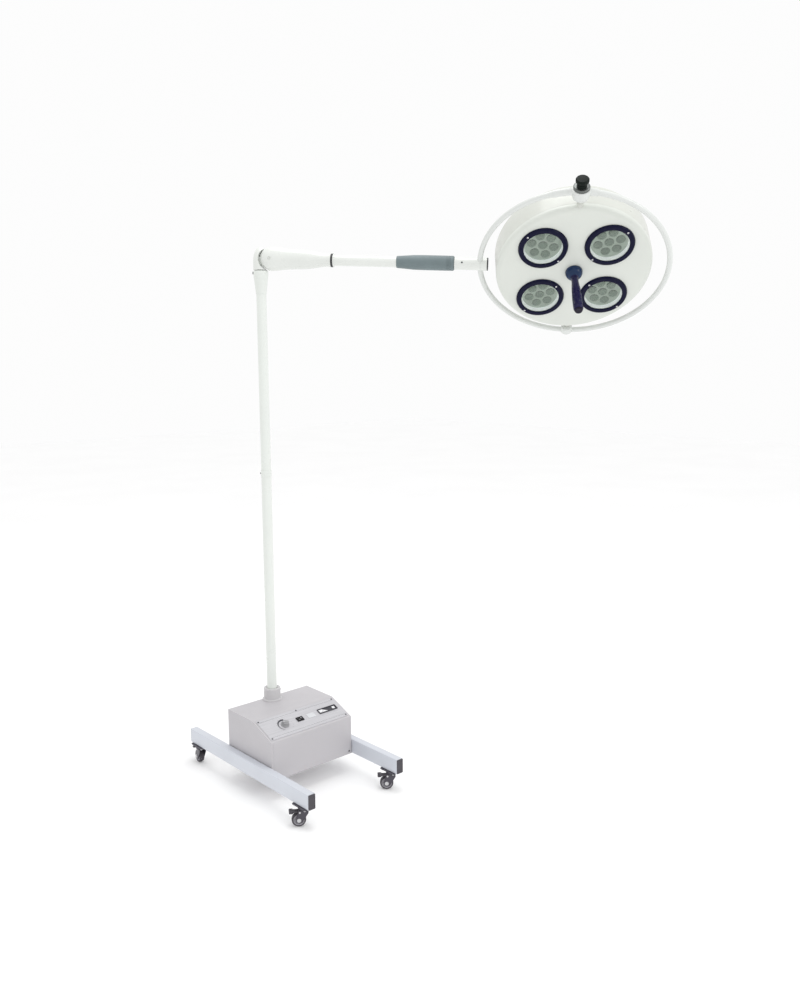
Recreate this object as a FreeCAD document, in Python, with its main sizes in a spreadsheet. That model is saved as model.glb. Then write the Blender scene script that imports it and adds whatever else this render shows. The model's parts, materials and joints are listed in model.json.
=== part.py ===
"""Mobile surgical examination light: a rolling base with a control box, a column, a
balanced arm, a ring yoke and a round four-lamp head.

Millimetres, +Z up. The origin is the point of the floor under the column's axis, and the
control panel faces -Y. The upper parts are built in frames of their own: ARM (+X along the
arm), YOKE (its XZ plane is the ring's plane) and HEAD (the lamps shine towards -Y).
"""
import FreeCAD, Part
import math
import os
import re
import Sketcher
from FreeCAD import Placement, Rotation, Vector

doc = FreeCAD.newDocument("surgical_light")

# ------------------------------------------------------------------ driving dimensions
DIMENSIONS = {
    # rolling base
    "rail_front": 516, "rail_back": 258, "rail_width": 30, "rail_height": 56,
    "rail_wall": 2, "rail_spacing": 404, "caster_height": 75, "cap_flange": 3,
    # casters
    "wheel_diameter": 50, "tyre_width": 20, "tyre_depth": 6, "caster_trail": 16,
    "plate_length": 76, "plate_width": 44, "plate_thickness": 4, "axle_diameter": 8,
    "fork_width": 28, "fork_gap": 23, "fork_top": 61, "fork_sheet": 3, "running_gap": 0.05,
    "pedal_width": 22, "pedal_pad_width": 34, "caster_inset": 48,
    # control box
    "box_width": 370, "box_back": 26, "box_front": 258, "box_top": 272, "fold_back": 140,
    "front_top": 225, "sheet": 2, "tray": 3, "flange_height": 40, "beam_width": 50,
    "beam_height": 25, "panel_width": 354, "panel_depth": 110, "panel_sheet": 2,
    "rocker_length": 30, "rocker_width": 21, "rocker_wall": 2.5, "meter_length": 86,
    "meter_width": 24, "window_length": 34, "window_width": 22, "dimmer_diameter": 32,
    "dimmer_height": 15, "shaft_diameter": 6, "battery_length": 150, "battery_width": 70,
    "battery_height": 120,
    # column
    "column_diameter": 38, "upper_diameter": 37, "tube_wall": 2, "collar_diameter": 64,
    "collar_height": 48, "joint_height": 1161, "joint_ring_height": 22,
    "joint_ring_diameter": 41, "sleeve_diameter": 54, "sleeve_bottom": 1820,
    "parting_height": 1905, "spigot_diameter": 28, "spigot_length": 50,
    # arm
    "elbow_height": 1944, "elbow_offset": 40, "root_radius": 42, "root_width": 62,
    "tongue_width": 20, "tongue_radius": 30, "pin_diameter": 12, "housing_end": 262,
    "nose_diameter": 48, "ring_length": 12, "arm_tube_diameter": 38, "arm_tube_wall": 2.5,
    "grip_start": 500, "grip_end": 705, "grip_small": 42, "grip_large": 52,
    "arm_yaw": -50, "arm_droop": 2.3,
    # ring yoke
    "end_tube_diameter": 44, "hoop_radius": 324, "hoop_tube": 19, "hoop_reach": 1119.5,
    "yoke_roll": 49.5, "block_length": 118, "block_diameter": 24, "boss_diameter": 58,
    "boss_height": 20, "foot_diameter": 42, "knob_diameter": 44, "knob_height": 38,
    "plug_length": 26,
    # head
    "head_turn": 5.6, "head_pitch": -3, "head_radius": 268, "face_depth": 28,
    "shoulder_radius": 279, "dome_radius": 500, "head_back": 172, "shell": 3,
    "pod_spread": 157, "bezel_radius": 84, "bezel_hole": 66.5, "bezel_height": 9,
    "cup_depth": 32, "cup_wall": 1.5, "glass": 3,
    "led_ring": 37, "led_radius": 16.5, "pivot_diameter": 16,
    # handle
    "dome_size": 30, "dome_depth": 2, "handle_length": 190, "neck_diameter": 24,
    "grip_diameter": 34, "button_diameter": 26,
}

sheet = doc.addObject("Spreadsheet::Sheet", "Dims")
for row, (alias, value) in enumerate(DIMENSIONS.items(), start=1):
    sheet.set(f"A{row}", alias)
    sheet.set(f"B{row}", str(value))
    sheet.setAlias(f"B{row}", alias)
doc.recompute()


def dim(alias):
    """The value of one cell of the sheet."""
    return float(sheet.get(alias))


# ------------------------------------------------------------------ helpers
TURNS = {
    "+z": Rotation(),
    "-z": Rotation(Vector(1, 0, 0), 180),
    "+x": Rotation(Vector(0, 1, 0), 90),
    "-x": Rotation(Vector(0, 1, 0), -90),
    "+y": Rotation(Vector(1, 0, 0), -90),
    "-y": Rotation(Vector(1, 0, 0), 90),
}
WORLD = Placement()
made = []


def frame(parent, x=0, y=0, z=0, axis=(0, 0, 1), angle=0):
    """A frame placed and turned within another one."""
    return parent * Placement(Vector(x, y, z), Rotation(Vector(*axis), angle))


def at(where, x=0, y=0, z=0, way="+z"):
    """A placement in a frame whose +Z points along one of that frame's axes."""
    return where * Placement(Vector(x, y, z), TURNS[way])


def bind(obj, **sizes):
    """Tie properties to the sheet. Each size is a formula that uses the aliases."""
    for name, formula in sizes.items():
        words = re.sub(r"[a-z_]+", lambda m: "Dims." + m.group(0), str(formula))
        obj.setExpression(name, words)
    return obj


def box(place, length, width, height):
    """A block centred on its frame in X and Y, standing on it in Z."""
    block = bind(doc.addObject("Part::Box", "Block"), Length=length, Width=width, Height=height)
    doc.recompute()
    shift = Vector(-block.Length.Value / 2, -block.Width.Value / 2, 0)
    block.Placement = place * Placement(shift, Rotation())
    return block


def rod(place, radius, length):
    """A round bar along its frame's +Z."""
    bar = bind(doc.addObject("Part::Cylinder", "Rod"), Radius=radius, Height=length)
    bar.Placement = place
    return bar


def cone(place, start, end, length):
    """A taper along its frame's +Z."""
    taper = bind(doc.addObject("Part::Cone", "Taper"), Radius1=start, Radius2=end, Height=length)
    taper.Placement = place
    return taper


def ball(place, radius):
    """A whole ball."""
    sphere = bind(doc.addObject("Part::Sphere", "Ball"), Radius=radius)
    sphere.Placement = place
    return sphere


def ring(place, radius, thickness):
    """A torus round its frame's Z."""
    torus = bind(doc.addObject("Part::Torus", "Ring"), Radius1=radius, Radius2=thickness)
    torus.Placement = place
    return torus


def fuse(*parts):
    """One solid out of several that meet."""
    joined = doc.addObject("Part::MultiFuse", "Joined")
    joined.Shapes = list(parts)
    joined.Refine = True
    return joined


def cut(base, *tools):
    """The base without the tools."""
    result = doc.addObject("Part::Cut", "Cut")
    result.Base = base
    result.Tool = tools[0] if len(tools) == 1 else fuse(*tools)
    return result


def common(*parts):
    """What all the parts share."""
    shared = doc.addObject("Part::MultiCommon", "Shared")
    shared.Shapes = list(parts)
    return shared


def group(*parts):
    """Separate solids that share one node."""
    together = doc.addObject("Part::Compound", "Group")
    together.Links = list(parts)
    return together


def tube(place, outer, inner, length):
    """A round tube along its frame's +Z."""
    return cut(rod(place, outer, length), rod(place, inner, length))


def keep(node, part):
    """Name a finished sub-part."""
    part.Label = node
    made.append(part)
    return part


def outline_body(name, plane_role, outlines):
    """A body with one sketch of closed outlines, whose corners are tied to the sheet.

    Each outline is a list of (x formula, y formula) corners.
    """
    body = doc.addObject("PartDesign::Body", name)
    sketch = body.newObject("Sketcher::SketchObject", name + "_outline")
    plane = next(f for f in body.Origin.OriginFeatures if f.Role == plane_role)
    sketch.AttachmentSupport = [(plane, "")]
    sketch.MapMode = "FlatFace"
    for number, corners in enumerate(outlines):
        first = sketch.GeometryCount
        count = len(corners)
        spots = []
        for step in range(count):
            turn = 2 * math.pi * step / count
            reach = 100 / (number + 1)
            spots.append(Vector(reach * math.cos(turn), reach * math.sin(turn), 0))
        for step in range(count):
            sketch.addGeometry(Part.LineSegment(spots[step], spots[(step + 1) % count]))
        for step in range(count):
            after = first + (step + 1) % count
            sketch.addConstraint(Sketcher.Constraint("Coincident", first + step, 2, after, 1))
        for step, (across, up) in enumerate(corners):
            for kind, formula in (("DistanceX", across), ("DistanceY", up)):
                start = spots[step].x if kind == "DistanceX" else spots[step].y
                rule = Sketcher.Constraint(kind, -1, 1, first + step, 1, start)
                index = sketch.addConstraint(rule)
                words = re.sub(r"[a-z_]+", lambda m: "Dims." + m.group(0), str(formula))
                sketch.setExpression(f"Constraints[{index}]", words)
    doc.recompute()
    return body, sketch


def pad(body, sketch, length):
    """Extrude a sketch to both sides of its plane."""
    feature = body.newObject("PartDesign::Pad", "Pad")
    feature.Profile = sketch
    feature.Midplane = True
    bind(feature, Length=length)
    body.Tip = feature
    doc.recompute()
    return feature


# ------------------------------------------------------------------ rolling base
RAIL_LENGTH = "(rail_front + rail_back)"
rail_middle = (dim("rail_back") - dim("rail_front")) / 2
rail_x = dim("rail_spacing") / 2
rail_z = dim("caster_height")


def make_rail(node, side):
    """A rectangular steel tube that runs from back to front."""
    half_width, wall = "rail_width / 2", "rail_wall"
    outer = [(f"-{half_width}", "0"), (half_width, "0"),
             (half_width, "rail_height"), (f"-{half_width}", "rail_height")]
    inner = [(f"-{half_width} + {wall}", wall), (f"{half_width} - {wall}", wall),
             (f"{half_width} - {wall}", f"rail_height - {wall}"),
             (f"-{half_width} + {wall}", f"rail_height - {wall}")]
    body, sketch = outline_body(node + "_body", "XZ_Plane", [outer, inner])
    pad(body, sketch, RAIL_LENGTH)
    body.Placement = at(WORLD, side * rail_x, rail_middle, rail_z)
    return keep(node, body)


make_rail("rail_left", -1)
make_rail("rail_right", 1)


def rail_cap(x, y, outwards):
    """A flanged plug that closes one end of a rail."""
    plug_length = 15
    way = "+y" if outwards > 0 else "-y"
    place = at(WORLD, x, y, rail_z + dim("rail_height") / 2, way)
    flange = box(place, "rail_width", "rail_height", "cap_flange")
    inside = at(WORLD, x, y - outwards * plug_length, rail_z + dim("rail_height") / 2, way)
    plug = box(inside, "rail_width - 2 * rail_wall", "rail_height - 2 * rail_wall", plug_length)
    return fuse(flange, plug)


caps = []
for side in (-1, 1):
    caps.append(rail_cap(side * rail_x, dim("rail_back"), 1))
    caps.append(rail_cap(side * rail_x, -dim("rail_front"), -1))
keep("rail_end_caps", group(*caps))

# the tray that ties the rails together, with a flange up each side
tray_middle = (dim("box_back") - dim("box_front")) / 2
tray_top = rail_z + dim("tray")
BOX_DEPTH = "(box_front + box_back)"
floor_plate = box(at(WORLD, 0, tray_middle, rail_z), "rail_spacing - rail_width", BOX_DEPTH, "tray")
flange_x = dim("box_width") / 2 - dim("sheet") - dim("tray") / 2 - 0.2
flanges = []
for side in (-1, 1):
    foot = at(WORLD, side * flange_x, tray_middle, tray_top)
    flanges.append(box(foot, "tray", BOX_DEPTH + " - 2 * sheet - 1", "flange_height"))
keep("base_tray", fuse(floor_plate, *flanges))

# two solid bars across the tray: they carry the column and keep the light from tipping
beam_front_y = -200
BEAM_LENGTH = "box_width - 2 * sheet - 2 * tray - 1"
beams = [box(at(WORLD, 0, y, tray_top), BEAM_LENGTH, "beam_width", "beam_height")
         for y in (-3, beam_front_y)]
keep("cross_beams", group(*beams))


# ------------------------------------------------------------------ control box
def cover_outline(inset):
    """The cover's side view, drawn a sheet's thickness smaller for the inside."""
    slope = math.atan2(dim("box_top") - dim("front_top"), dim("box_front") - dim("fold_back"))
    bend = f"{inset} * {math.tan(slope / 2):.5f}"
    foot = "caster_height + tray"
    return [
        (f"box_back - {inset}", foot),
        (f"box_back - {inset}", f"box_top - {inset}"),
        (f"-fold_back + {bend}", f"box_top - {inset}"),
        (f"-box_front + {inset}", f"front_top - {inset} * {1 / math.cos(slope):.5f} "
                                  f"+ {inset} * {math.tan(slope):.5f}"),
        (f"-box_front + {inset}", foot),
    ]


def box_block(name, inset, width):
    """The cover's outline, extruded across the box."""
    body, sketch = outline_body(name, "YZ_Plane", [cover_outline(inset)])
    pad(body, sketch, width)
    return body


panel_run = dim("box_front") - dim("fold_back")
panel_drop = dim("box_top") - dim("front_top")
panel_angle = math.degrees(math.atan2(panel_drop, panel_run))
panel_length = math.hypot(panel_run, panel_drop)
# PANEL: +X across the box, -Y down the slope, +Z out of it; its origin is the slope's centre
PANEL = frame(WORLD, 0, -(dim("fold_back") + dim("box_front")) / 2,
              (dim("box_top") + dim("front_top")) / 2, (1, 0, 0), panel_angle)


def on_panel(across, down):
    """A point of the slope, given as fractions from its upper left corner."""
    return (across - 0.5) * dim("box_width"), (0.5 - down) * panel_length


dimmer_x, dimmer_y = on_panel(0.275, 0.51)
rocker_x, rocker_y = on_panel(0.464, 0.49)
window_x, window_y = on_panel(0.605, 0.49)
meter_x, meter_y = on_panel(0.82, 0.46)
CUT_DEPTH = 12


def panel_hole(x, y, length, width):
    """A rectangular hole through the faceplate and the cover."""
    return box(at(PANEL, x, y, -CUT_DEPTH / 2), length, width, CUT_DEPTH)


def dimmer_hole():
    """The round hole for the dimmer's shaft."""
    return rod(at(PANEL, dimmer_x, dimmer_y, -CUT_DEPTH / 2), "shaft_diameter / 2 + 1", CUT_DEPTH)


ROCKER_AXIS = dim("panel_sheet")
ROCKER_HOLE = ("rocker_length - 2 * rocker_wall + 2", "rocker_width - 2 * rocker_wall + 2")
screw_head_radius, screw_head_height, screw_inset = 3, 1.2, 7


def rocker_hole():
    """The hole that the rocker switch clips into."""
    return panel_hole(rocker_x, rocker_y, *ROCKER_HOLE)


inlet_x, inlet_z, inlet_length, inlet_height = -110, 120, 48, 27
box_inside = box_block("cover_inside", "sheet", "box_width - 2 * sheet")
box_outside = box_block("cover_outside", "0", "box_width")
column_hole = rod(at(WORLD, 0, 0, dim("box_top") - 5), "column_diameter / 2 + 1", 10)
inlet_place = at(WORLD, inlet_x, dim("box_back") + 5, inlet_z, "-y")
inlet_hole = box(inlet_place, inlet_length - 4, inlet_height - 4, 10)
keep("box_cover", cut(box_outside, box_inside, column_hole, rocker_hole(), dimmer_hole(),
                      inlet_hole))

plate_blank = box(at(PANEL), "panel_width", "panel_depth", "panel_sheet")
keep("control_panel", cut(plate_blank, rocker_hole(), dimmer_hole()))


def rocker_trunnion(extra, gap):
    """The round pin that the rocker tilts on, or the bore that holds it."""
    pin_radius, reach_into_wall = 1.2, 0.6
    half = dim("rocker_length") / 2 - dim("rocker_wall") + reach_into_wall + extra
    place = at(PANEL, rocker_x - half, rocker_y, ROCKER_AXIS, "+x")
    return rod(place, f"{pin_radius} + {gap}", 2 * half)


def rocker_frame():
    """The switch's bezel on the faceplate, with its body behind it."""
    bezel_height, body_depth = 2.5, 16
    top = box(at(PANEL, rocker_x, rocker_y, dim("panel_sheet")), "rocker_length",
              "rocker_width", bezel_height)
    body = box(at(PANEL, rocker_x, rocker_y, -body_depth), ROCKER_HOLE[0], ROCKER_HOLE[1],
               body_depth + dim("panel_sheet"))
    well_depth = 8
    well = box(at(PANEL, rocker_x, rocker_y, dim("panel_sheet") + bezel_height - well_depth),
               "rocker_length - 2 * rocker_wall", "rocker_width - 2 * rocker_wall", well_depth)
    pivot_bore = rocker_trunnion(0.2, "running_gap")
    return keep("rocker_frame", cut(fuse(top, body), well, pivot_bore))


def rocker():
    """The rocking key on its pin, with the rear half pressed."""
    side_gap, end_gap, rest_angle, key_height = 0.5, 1.5, 7, 4
    key = box(frame(PANEL, rocker_x, rocker_y, ROCKER_AXIS - 0.5, (1, 0, 0), rest_angle),
              f"rocker_length - 2 * rocker_wall - 2 * {side_gap}",
              f"rocker_width - 2 * rocker_wall - 2 * {end_gap}", key_height)
    return keep("mains_rocker", fuse(key, rocker_trunnion(0, "0")))


rocker_frame()
rocker()


def battery_meter():
    """A dark frame with its dial, and the plain indicator window beside the switch."""
    frame_height = 3
    body = box(at(PANEL, meter_x, meter_y, dim("panel_sheet")), "meter_length", "meter_width",
               frame_height)
    recess = box(at(PANEL, meter_x, meter_y, dim("panel_sheet") + 1), "meter_length - 7",
                 "meter_width - 7", frame_height)
    window = box(at(PANEL, window_x, window_y, dim("panel_sheet")), "window_length",
                 "window_width", 1.2)
    return keep("battery_meter", group(cut(body, recess), window))


battery_meter()


def dimmer_knob():
    """A knob: a wide skirt, a tapered body and the shaft through the faceplate."""
    gap, skirt_height, shaft_depth = 0.5, 3, 10
    lift = dim("panel_sheet") + gap
    skirt = rod(at(PANEL, dimmer_x, dimmer_y, lift), "dimmer_diameter / 2", skirt_height)
    body = cone(at(PANEL, dimmer_x, dimmer_y, lift + skirt_height), "dimmer_diameter / 2 - 3",
                "dimmer_diameter / 2 - 4.5", f"dimmer_height - {skirt_height}")
    shaft = rod(at(PANEL, dimmer_x, dimmer_y, -shaft_depth), "shaft_diameter / 2",
                shaft_depth + lift + skirt_height - 1)
    return keep("dimmer_knob", fuse(skirt, body, shaft))


dimmer_knob()

# inside the box: battery pack, power supply and the driver board
battery_x, battery_y, battery_step = 90, -101, 36
batteries = [box(at(WORLD, battery_x, battery_y + step, tray_top), "battery_length",
                 "battery_width", "battery_height") for step in (-battery_step, battery_step)]
keep("battery_pack", group(*batteries))
core_x, core_y, core_height = -95, -105, 90
core = box(at(WORLD, core_x, core_y, tray_top), 110, 100, core_height)
coil = box(at(WORLD, core_x, core_y, tray_top + core_height), 70, 60, 18)
keep("power_supply", fuse(core, coil))
board_x, board_z, board_sheet = 20, -34, 2
board = box(at(PANEL, board_x, 0, board_z), 220, 70, board_sheet)
chips = [box(at(PANEL, board_x + step, 0, board_z + board_sheet), 24, 30, 9)
         for step in (-70, -20, 30, 80)]
pot_z, pot_height, pot_floor = -14, 10, 2
pot = cut(rod(at(PANEL, dimmer_x, dimmer_y, pot_z), 9, pot_height),
          rod(at(PANEL, dimmer_x, dimmer_y, pot_z + pot_floor),
              "shaft_diameter / 2 + running_gap", pot_height))
keep("driver_board", group(fuse(board, *chips), pot))


def mains_inlet():
    """A recessed appliance inlet in the back of the cover."""
    back, rim_height, body_depth = dim("box_back"), 2, 26
    well_length, well_height, well_depth = 25, 17, 20
    rim_place = at(WORLD, inlet_x, back + rim_height, inlet_z, "-y")
    rim = box(rim_place, inlet_length, inlet_height, rim_height)
    body = box(at(WORLD, inlet_x, back, inlet_z, "-y"), inlet_length - 4, inlet_height - 4,
               body_depth)
    well = box(rim_place, well_length, well_height, well_depth)
    return keep("mains_inlet", cut(fuse(rim, body), well))


mains_inlet()

# ------------------------------------------------------------------ column
box_top = dim("box_top")
collar_radius = "collar_diameter / 2"
beam_top = tray_top + dim("beam_height")
flange_disc = rod(at(WORLD, 0, 0, box_top), "collar_diameter / 2 + 6", 4)
keep("column_collar", cut(fuse(flange_disc, rod(at(WORLD, 0, 0, box_top), collar_radius,
                                                "collar_height")),
                          rod(at(WORLD, 0, 0, box_top), "column_diameter / 2", 100)))
joint_z = dim("joint_height")
keep("lower_column", tube(at(WORLD, 0, 0, beam_top), "column_diameter / 2",
                          "column_diameter / 2 - tube_wall", joint_z - beam_top))
ring_z = joint_z - dim("joint_ring_height") / 2
ring_outer = rod(at(WORLD, 0, 0, ring_z), "joint_ring_diameter / 2", "joint_ring_height")
ring_low = rod(at(WORLD, 0, 0, ring_z), "column_diameter / 2", joint_z - ring_z)
ring_high = rod(at(WORLD, 0, 0, joint_z), "upper_diameter / 2", joint_z - ring_z)
keep("joint_ring", cut(ring_outer, ring_low, ring_high))
upper_top = dim("sleeve_bottom") + 30
keep("upper_column", tube(at(WORLD, 0, 0, joint_z), "upper_diameter / 2",
                          "upper_diameter / 2 - tube_wall", upper_top - joint_z))


def taper_sleeve():
    """The bearing sleeve on the column's top: a cone with a straight band above it."""
    low, high = dim("sleeve_bottom"), dim("parting_height") - 2
    band, chamfer = 14, 3
    taper = cone(at(WORLD, 0, 0, low), "upper_diameter / 2 + 1", "sleeve_diameter / 2",
                 high - band - low)
    straight = rod(at(WORLD, 0, 0, high - band), "sleeve_diameter / 2", band - chamfer)
    edge = cone(at(WORLD, 0, 0, high - chamfer), "sleeve_diameter / 2",
                f"sleeve_diameter / 2 - {chamfer}", chamfer)
    socket = rod(at(WORLD, 0, 0, low), "upper_diameter / 2", upper_top - low)
    bore = rod(at(WORLD, 0, 0, upper_top), "spigot_diameter / 2 + running_gap", 100)
    return keep("taper_sleeve", cut(fuse(taper, straight, edge), socket, bore))


taper_sleeve()


def side_screw(turn, radius, z, head_radius, proud):
    """A round-headed screw that stands out of an upright tube, a turn round from +X."""
    place = frame(WORLD, 0, 0, z, (0, 0, 1), turn)
    return rod(at(place, radius, 0, 0, "+x"), head_radius, proud)


screws = []
corner_x, corner_y = (dim(side) / 2 - screw_inset for side in ("panel_width", "panel_depth"))
for x, y in ((-corner_x, corner_y), (0, corner_y), (corner_x, corner_y),
             (-corner_x, -corner_y), (corner_x, -corner_y)):
    screws.append(rod(at(PANEL, x, y, dim("panel_sheet")), screw_head_radius, screw_head_height))
for x in (-1, 1):
    lower = at(WORLD, x * (dim("box_width") / 2 - 12), -dim("box_front"), rail_z + 12, "-y")
    screws.append(rod(lower, screw_head_radius, screw_head_height))
left_turn, right_turn = 137.6, -42.4
screws.append(side_screw(right_turn, dim("collar_diameter") / 2,
                         box_top + dim("collar_height") - 9, 5, 6))
screws.append(side_screw(left_turn, dim("joint_ring_diameter") / 2, joint_z, 3, 2))
screws.append(side_screw(left_turn, dim("sleeve_diameter") / 2,
                         dim("parting_height") - 10, 4, 3))
keep("base_screws", group(*screws))

# ------------------------------------------------------------------ casters
corner_front = -(dim("rail_front") - dim("caster_inset"))
corner_back = dim("rail_back") - dim("caster_inset")
CASTERS = {
    # corner: (side, place along the rail, heading of the caster)
    "front_left": (-1, corner_front, -33),
    "front_right": (1, corner_front, -40),
    "back_left": (-1, corner_back, -98),
    "back_right": (1, corner_back, -75),
}
cup_radius, cup_bottom = 19, 61.3
kingpin_radius, kingpin_bottom, kingpin_head = 4, 54.2, 7
pedal_x, pedal_z, pedal_barrel, pedal_pin = -13, 53.4, 3.4, 2
plates = []
for side, y, heading in CASTERS.values():
    x = side * rail_x
    plate = box(at(WORLD, x, y, rail_z - dim("plate_thickness")), "plate_width",
                "plate_length", "plate_thickness")
    cup = rod(at(WORLD, x, y, cup_bottom), cup_radius,
              rail_z - dim("plate_thickness") - cup_bottom)
    kingpin = rod(at(WORLD, x, y, kingpin_bottom), kingpin_radius, cup_bottom - kingpin_bottom)
    head = rod(at(WORLD, x, y, kingpin_bottom), kingpin_head, 3)
    plates.append(fuse(plate, cup, kingpin, head))
keep("caster_plates", group(*plates))


def make_fork(where):
    """A bent-sheet fork: a side outline, hollowed from below, with axle and pedal pin."""
    top, sheet_top = "fork_top", "fork_top - fork_sheet"
    eye_x = "caster_trail"
    corners = [("17", top), ("17", "fork_top - 8"), (f"-{eye_x} + 8", "19"),
               (f"-{eye_x}", "16"), (f"-{eye_x} - 8", "19"), (f"-{eye_x} - 9", "30"),
               ("-18", "fork_top - 4"), ("-18", top)]
    body, sketch = outline_body("fork_body", "XZ_Plane", [corners])
    pad(body, sketch, "fork_width")
    body.Placement = where
    hollow = box(at(where, 0, 0, -5), 200, "fork_gap", sheet_top + " + 5")
    axle_place = at(where, -dim("caster_trail"), -16, dim("wheel_diameter") / 2, "+y")
    pin_place = at(where, pedal_x, -14, pedal_z, "+y")
    kingpin_hole = rod(at(where, 0, 0, 40), f"{kingpin_radius} + running_gap", 60)
    axle_hole = rod(axle_place, "axle_diameter / 2", 32)
    pin_hole = rod(pin_place, pedal_pin, 28)
    shell = cut(body, hollow, kingpin_hole, axle_hole, pin_hole)
    axle = rod(axle_place, "axle_diameter / 2", 32)
    pin = rod(pin_place, pedal_pin, 28)
    return group(shell, axle, pin)


def make_tyre(where):
    """A rubber tyre with rounded shoulders."""
    place = at(where, -dim("caster_trail"), -dim("tyre_width") / 2, dim("wheel_diameter") / 2,
               "+y")
    blank = tube(place, "wheel_diameter / 2", "wheel_diameter / 2 - tyre_depth", "tyre_width")
    doc.recompute()
    shoulders, shoulder = [], 4
    for index, edge in enumerate(blank.Shape.Edges, start=1):
        circle = getattr(edge.Curve, "Radius", 0)
        if abs(circle - dim("wheel_diameter") / 2) < 0.01 and edge.isClosed():
            shoulders.append((index, shoulder, shoulder))
    rounded = doc.addObject("Part::Fillet", "Rounded")
    rounded.Base = blank
    rounded.Edges = shoulders
    return rounded


def make_hub(where):
    """The wheel's hub, dished on both faces, running on the axle."""
    middle_y = -dim("tyre_width") / 2
    place = at(where, -dim("caster_trail"), middle_y, dim("wheel_diameter") / 2, "+y")
    far = at(where, -dim("caster_trail"), -middle_y, dim("wheel_diameter") / 2, "-y")
    disc = rod(place, "wheel_diameter / 2 - tyre_depth", "tyre_width")
    dish_depth = 4
    dishes = [tube(end, "wheel_diameter / 2 - tyre_depth - 3", "axle_diameter / 2 + 3.5",
                   dish_depth) for end in (place, far)]
    bore = rod(place, "axle_diameter / 2 + running_gap", "tyre_width")
    return cut(disc, *dishes, bore)


def make_pedal(where):
    """The brake pedal: a barrel on its pin, an arm over the tyre and a foot pad."""
    half = dim("pedal_width") / 2
    barrel = rod(at(where, pedal_x, -half, pedal_z, "+y"), pedal_barrel, "pedal_width")
    reach, pad_length = 30, 14
    arm = box(at(where, pedal_x - reach / 2, 0, pedal_z - 0.6), reach, "pedal_width", 3)
    pad_block = box(at(where, pedal_x - reach - 3, 0, pedal_z - 1.6), pad_length,
                    "pedal_pad_width", 5)
    bore = rod(at(where, pedal_x, -half, pedal_z, "+y"), f"{pedal_pin} + running_gap",
               "pedal_width")
    return cut(fuse(barrel, arm, pad_block), bore)


for corner, (side, y, heading) in CASTERS.items():
    foot = frame(WORLD, side * rail_x, y, 0, (0, 0, 1), heading)
    keep(corner + "_fork", make_fork(foot))
    keep(corner + "_tyre", make_tyre(foot))
    keep(corner + "_hub", make_hub(foot))
    keep(corner + "_brake_pedal", make_pedal(foot))

# ------------------------------------------------------------------ elbow and arm
SWIVEL = frame(WORLD, 0, 0, dim("elbow_height"), (0, 0, 1), dim("arm_yaw"))
offset = dim("elbow_offset")
ARM = frame(SWIVEL, offset, 0, 0, (0, 1, 0), dim("arm_droop")) * Placement(
    Vector(-offset, 0, 0), Rotation())
parting = dim("parting_height") - dim("elbow_height")


def elbow_knuckle():
    """A domed casting on the column's top: a hollowed front for the arm, and a tongue."""
    straight, seat_gap, dome_length = 28, 1.2, 54
    web_back, web_low, web_height = 18, -20, 28
    radius = "sleeve_diameter / 2"
    drum = rod(at(SWIVEL, 0, 0, parting), radius, straight)
    dome = doc.addObject("Part::Ellipsoid", "Dome")
    bind(dome, Radius1=dome_length, Radius2=radius, Radius3=radius)
    dome.Angle1 = 0
    dome.Placement = at(SWIVEL, 0, 0, parting + straight)
    seat = rod(at(SWIVEL, offset, -50, 0, "+y"), f"root_radius + {seat_gap}", 100)
    shell = cut(fuse(drum, dome), seat)
    disc = rod(at(SWIVEL, offset, -dim("tongue_width") / 2, 0, "+y"), "tongue_radius",
               "tongue_width")
    web = box(at(SWIVEL, (offset - web_back) / 2, 0, web_low), offset + web_back,
              "tongue_width", web_height)
    pin_hole = rod(at(SWIVEL, offset, -50, 0, "+y"), "pin_diameter / 2 + running_gap", 100)
    spigot = rod(at(SWIVEL, 0, 0, parting - dim("spigot_length")), "spigot_diameter / 2",
                 "spigot_length + 5")
    return keep("elbow_knuckle", cut(fuse(shell, disc, web, spigot), pin_hole))


elbow_knuckle()


def ellipse_ring(x, half_width, half_height):
    """A closed upright ellipse across the arm."""
    curve = Part.Ellipse(Vector(0, 0, 0), half_height, half_width)
    wire = Part.Wire([curve.toShape()])
    wire.Placement = Placement(Vector(x, 0, 0), Rotation(Vector(0, 1, 0), -90))
    return wire


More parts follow.
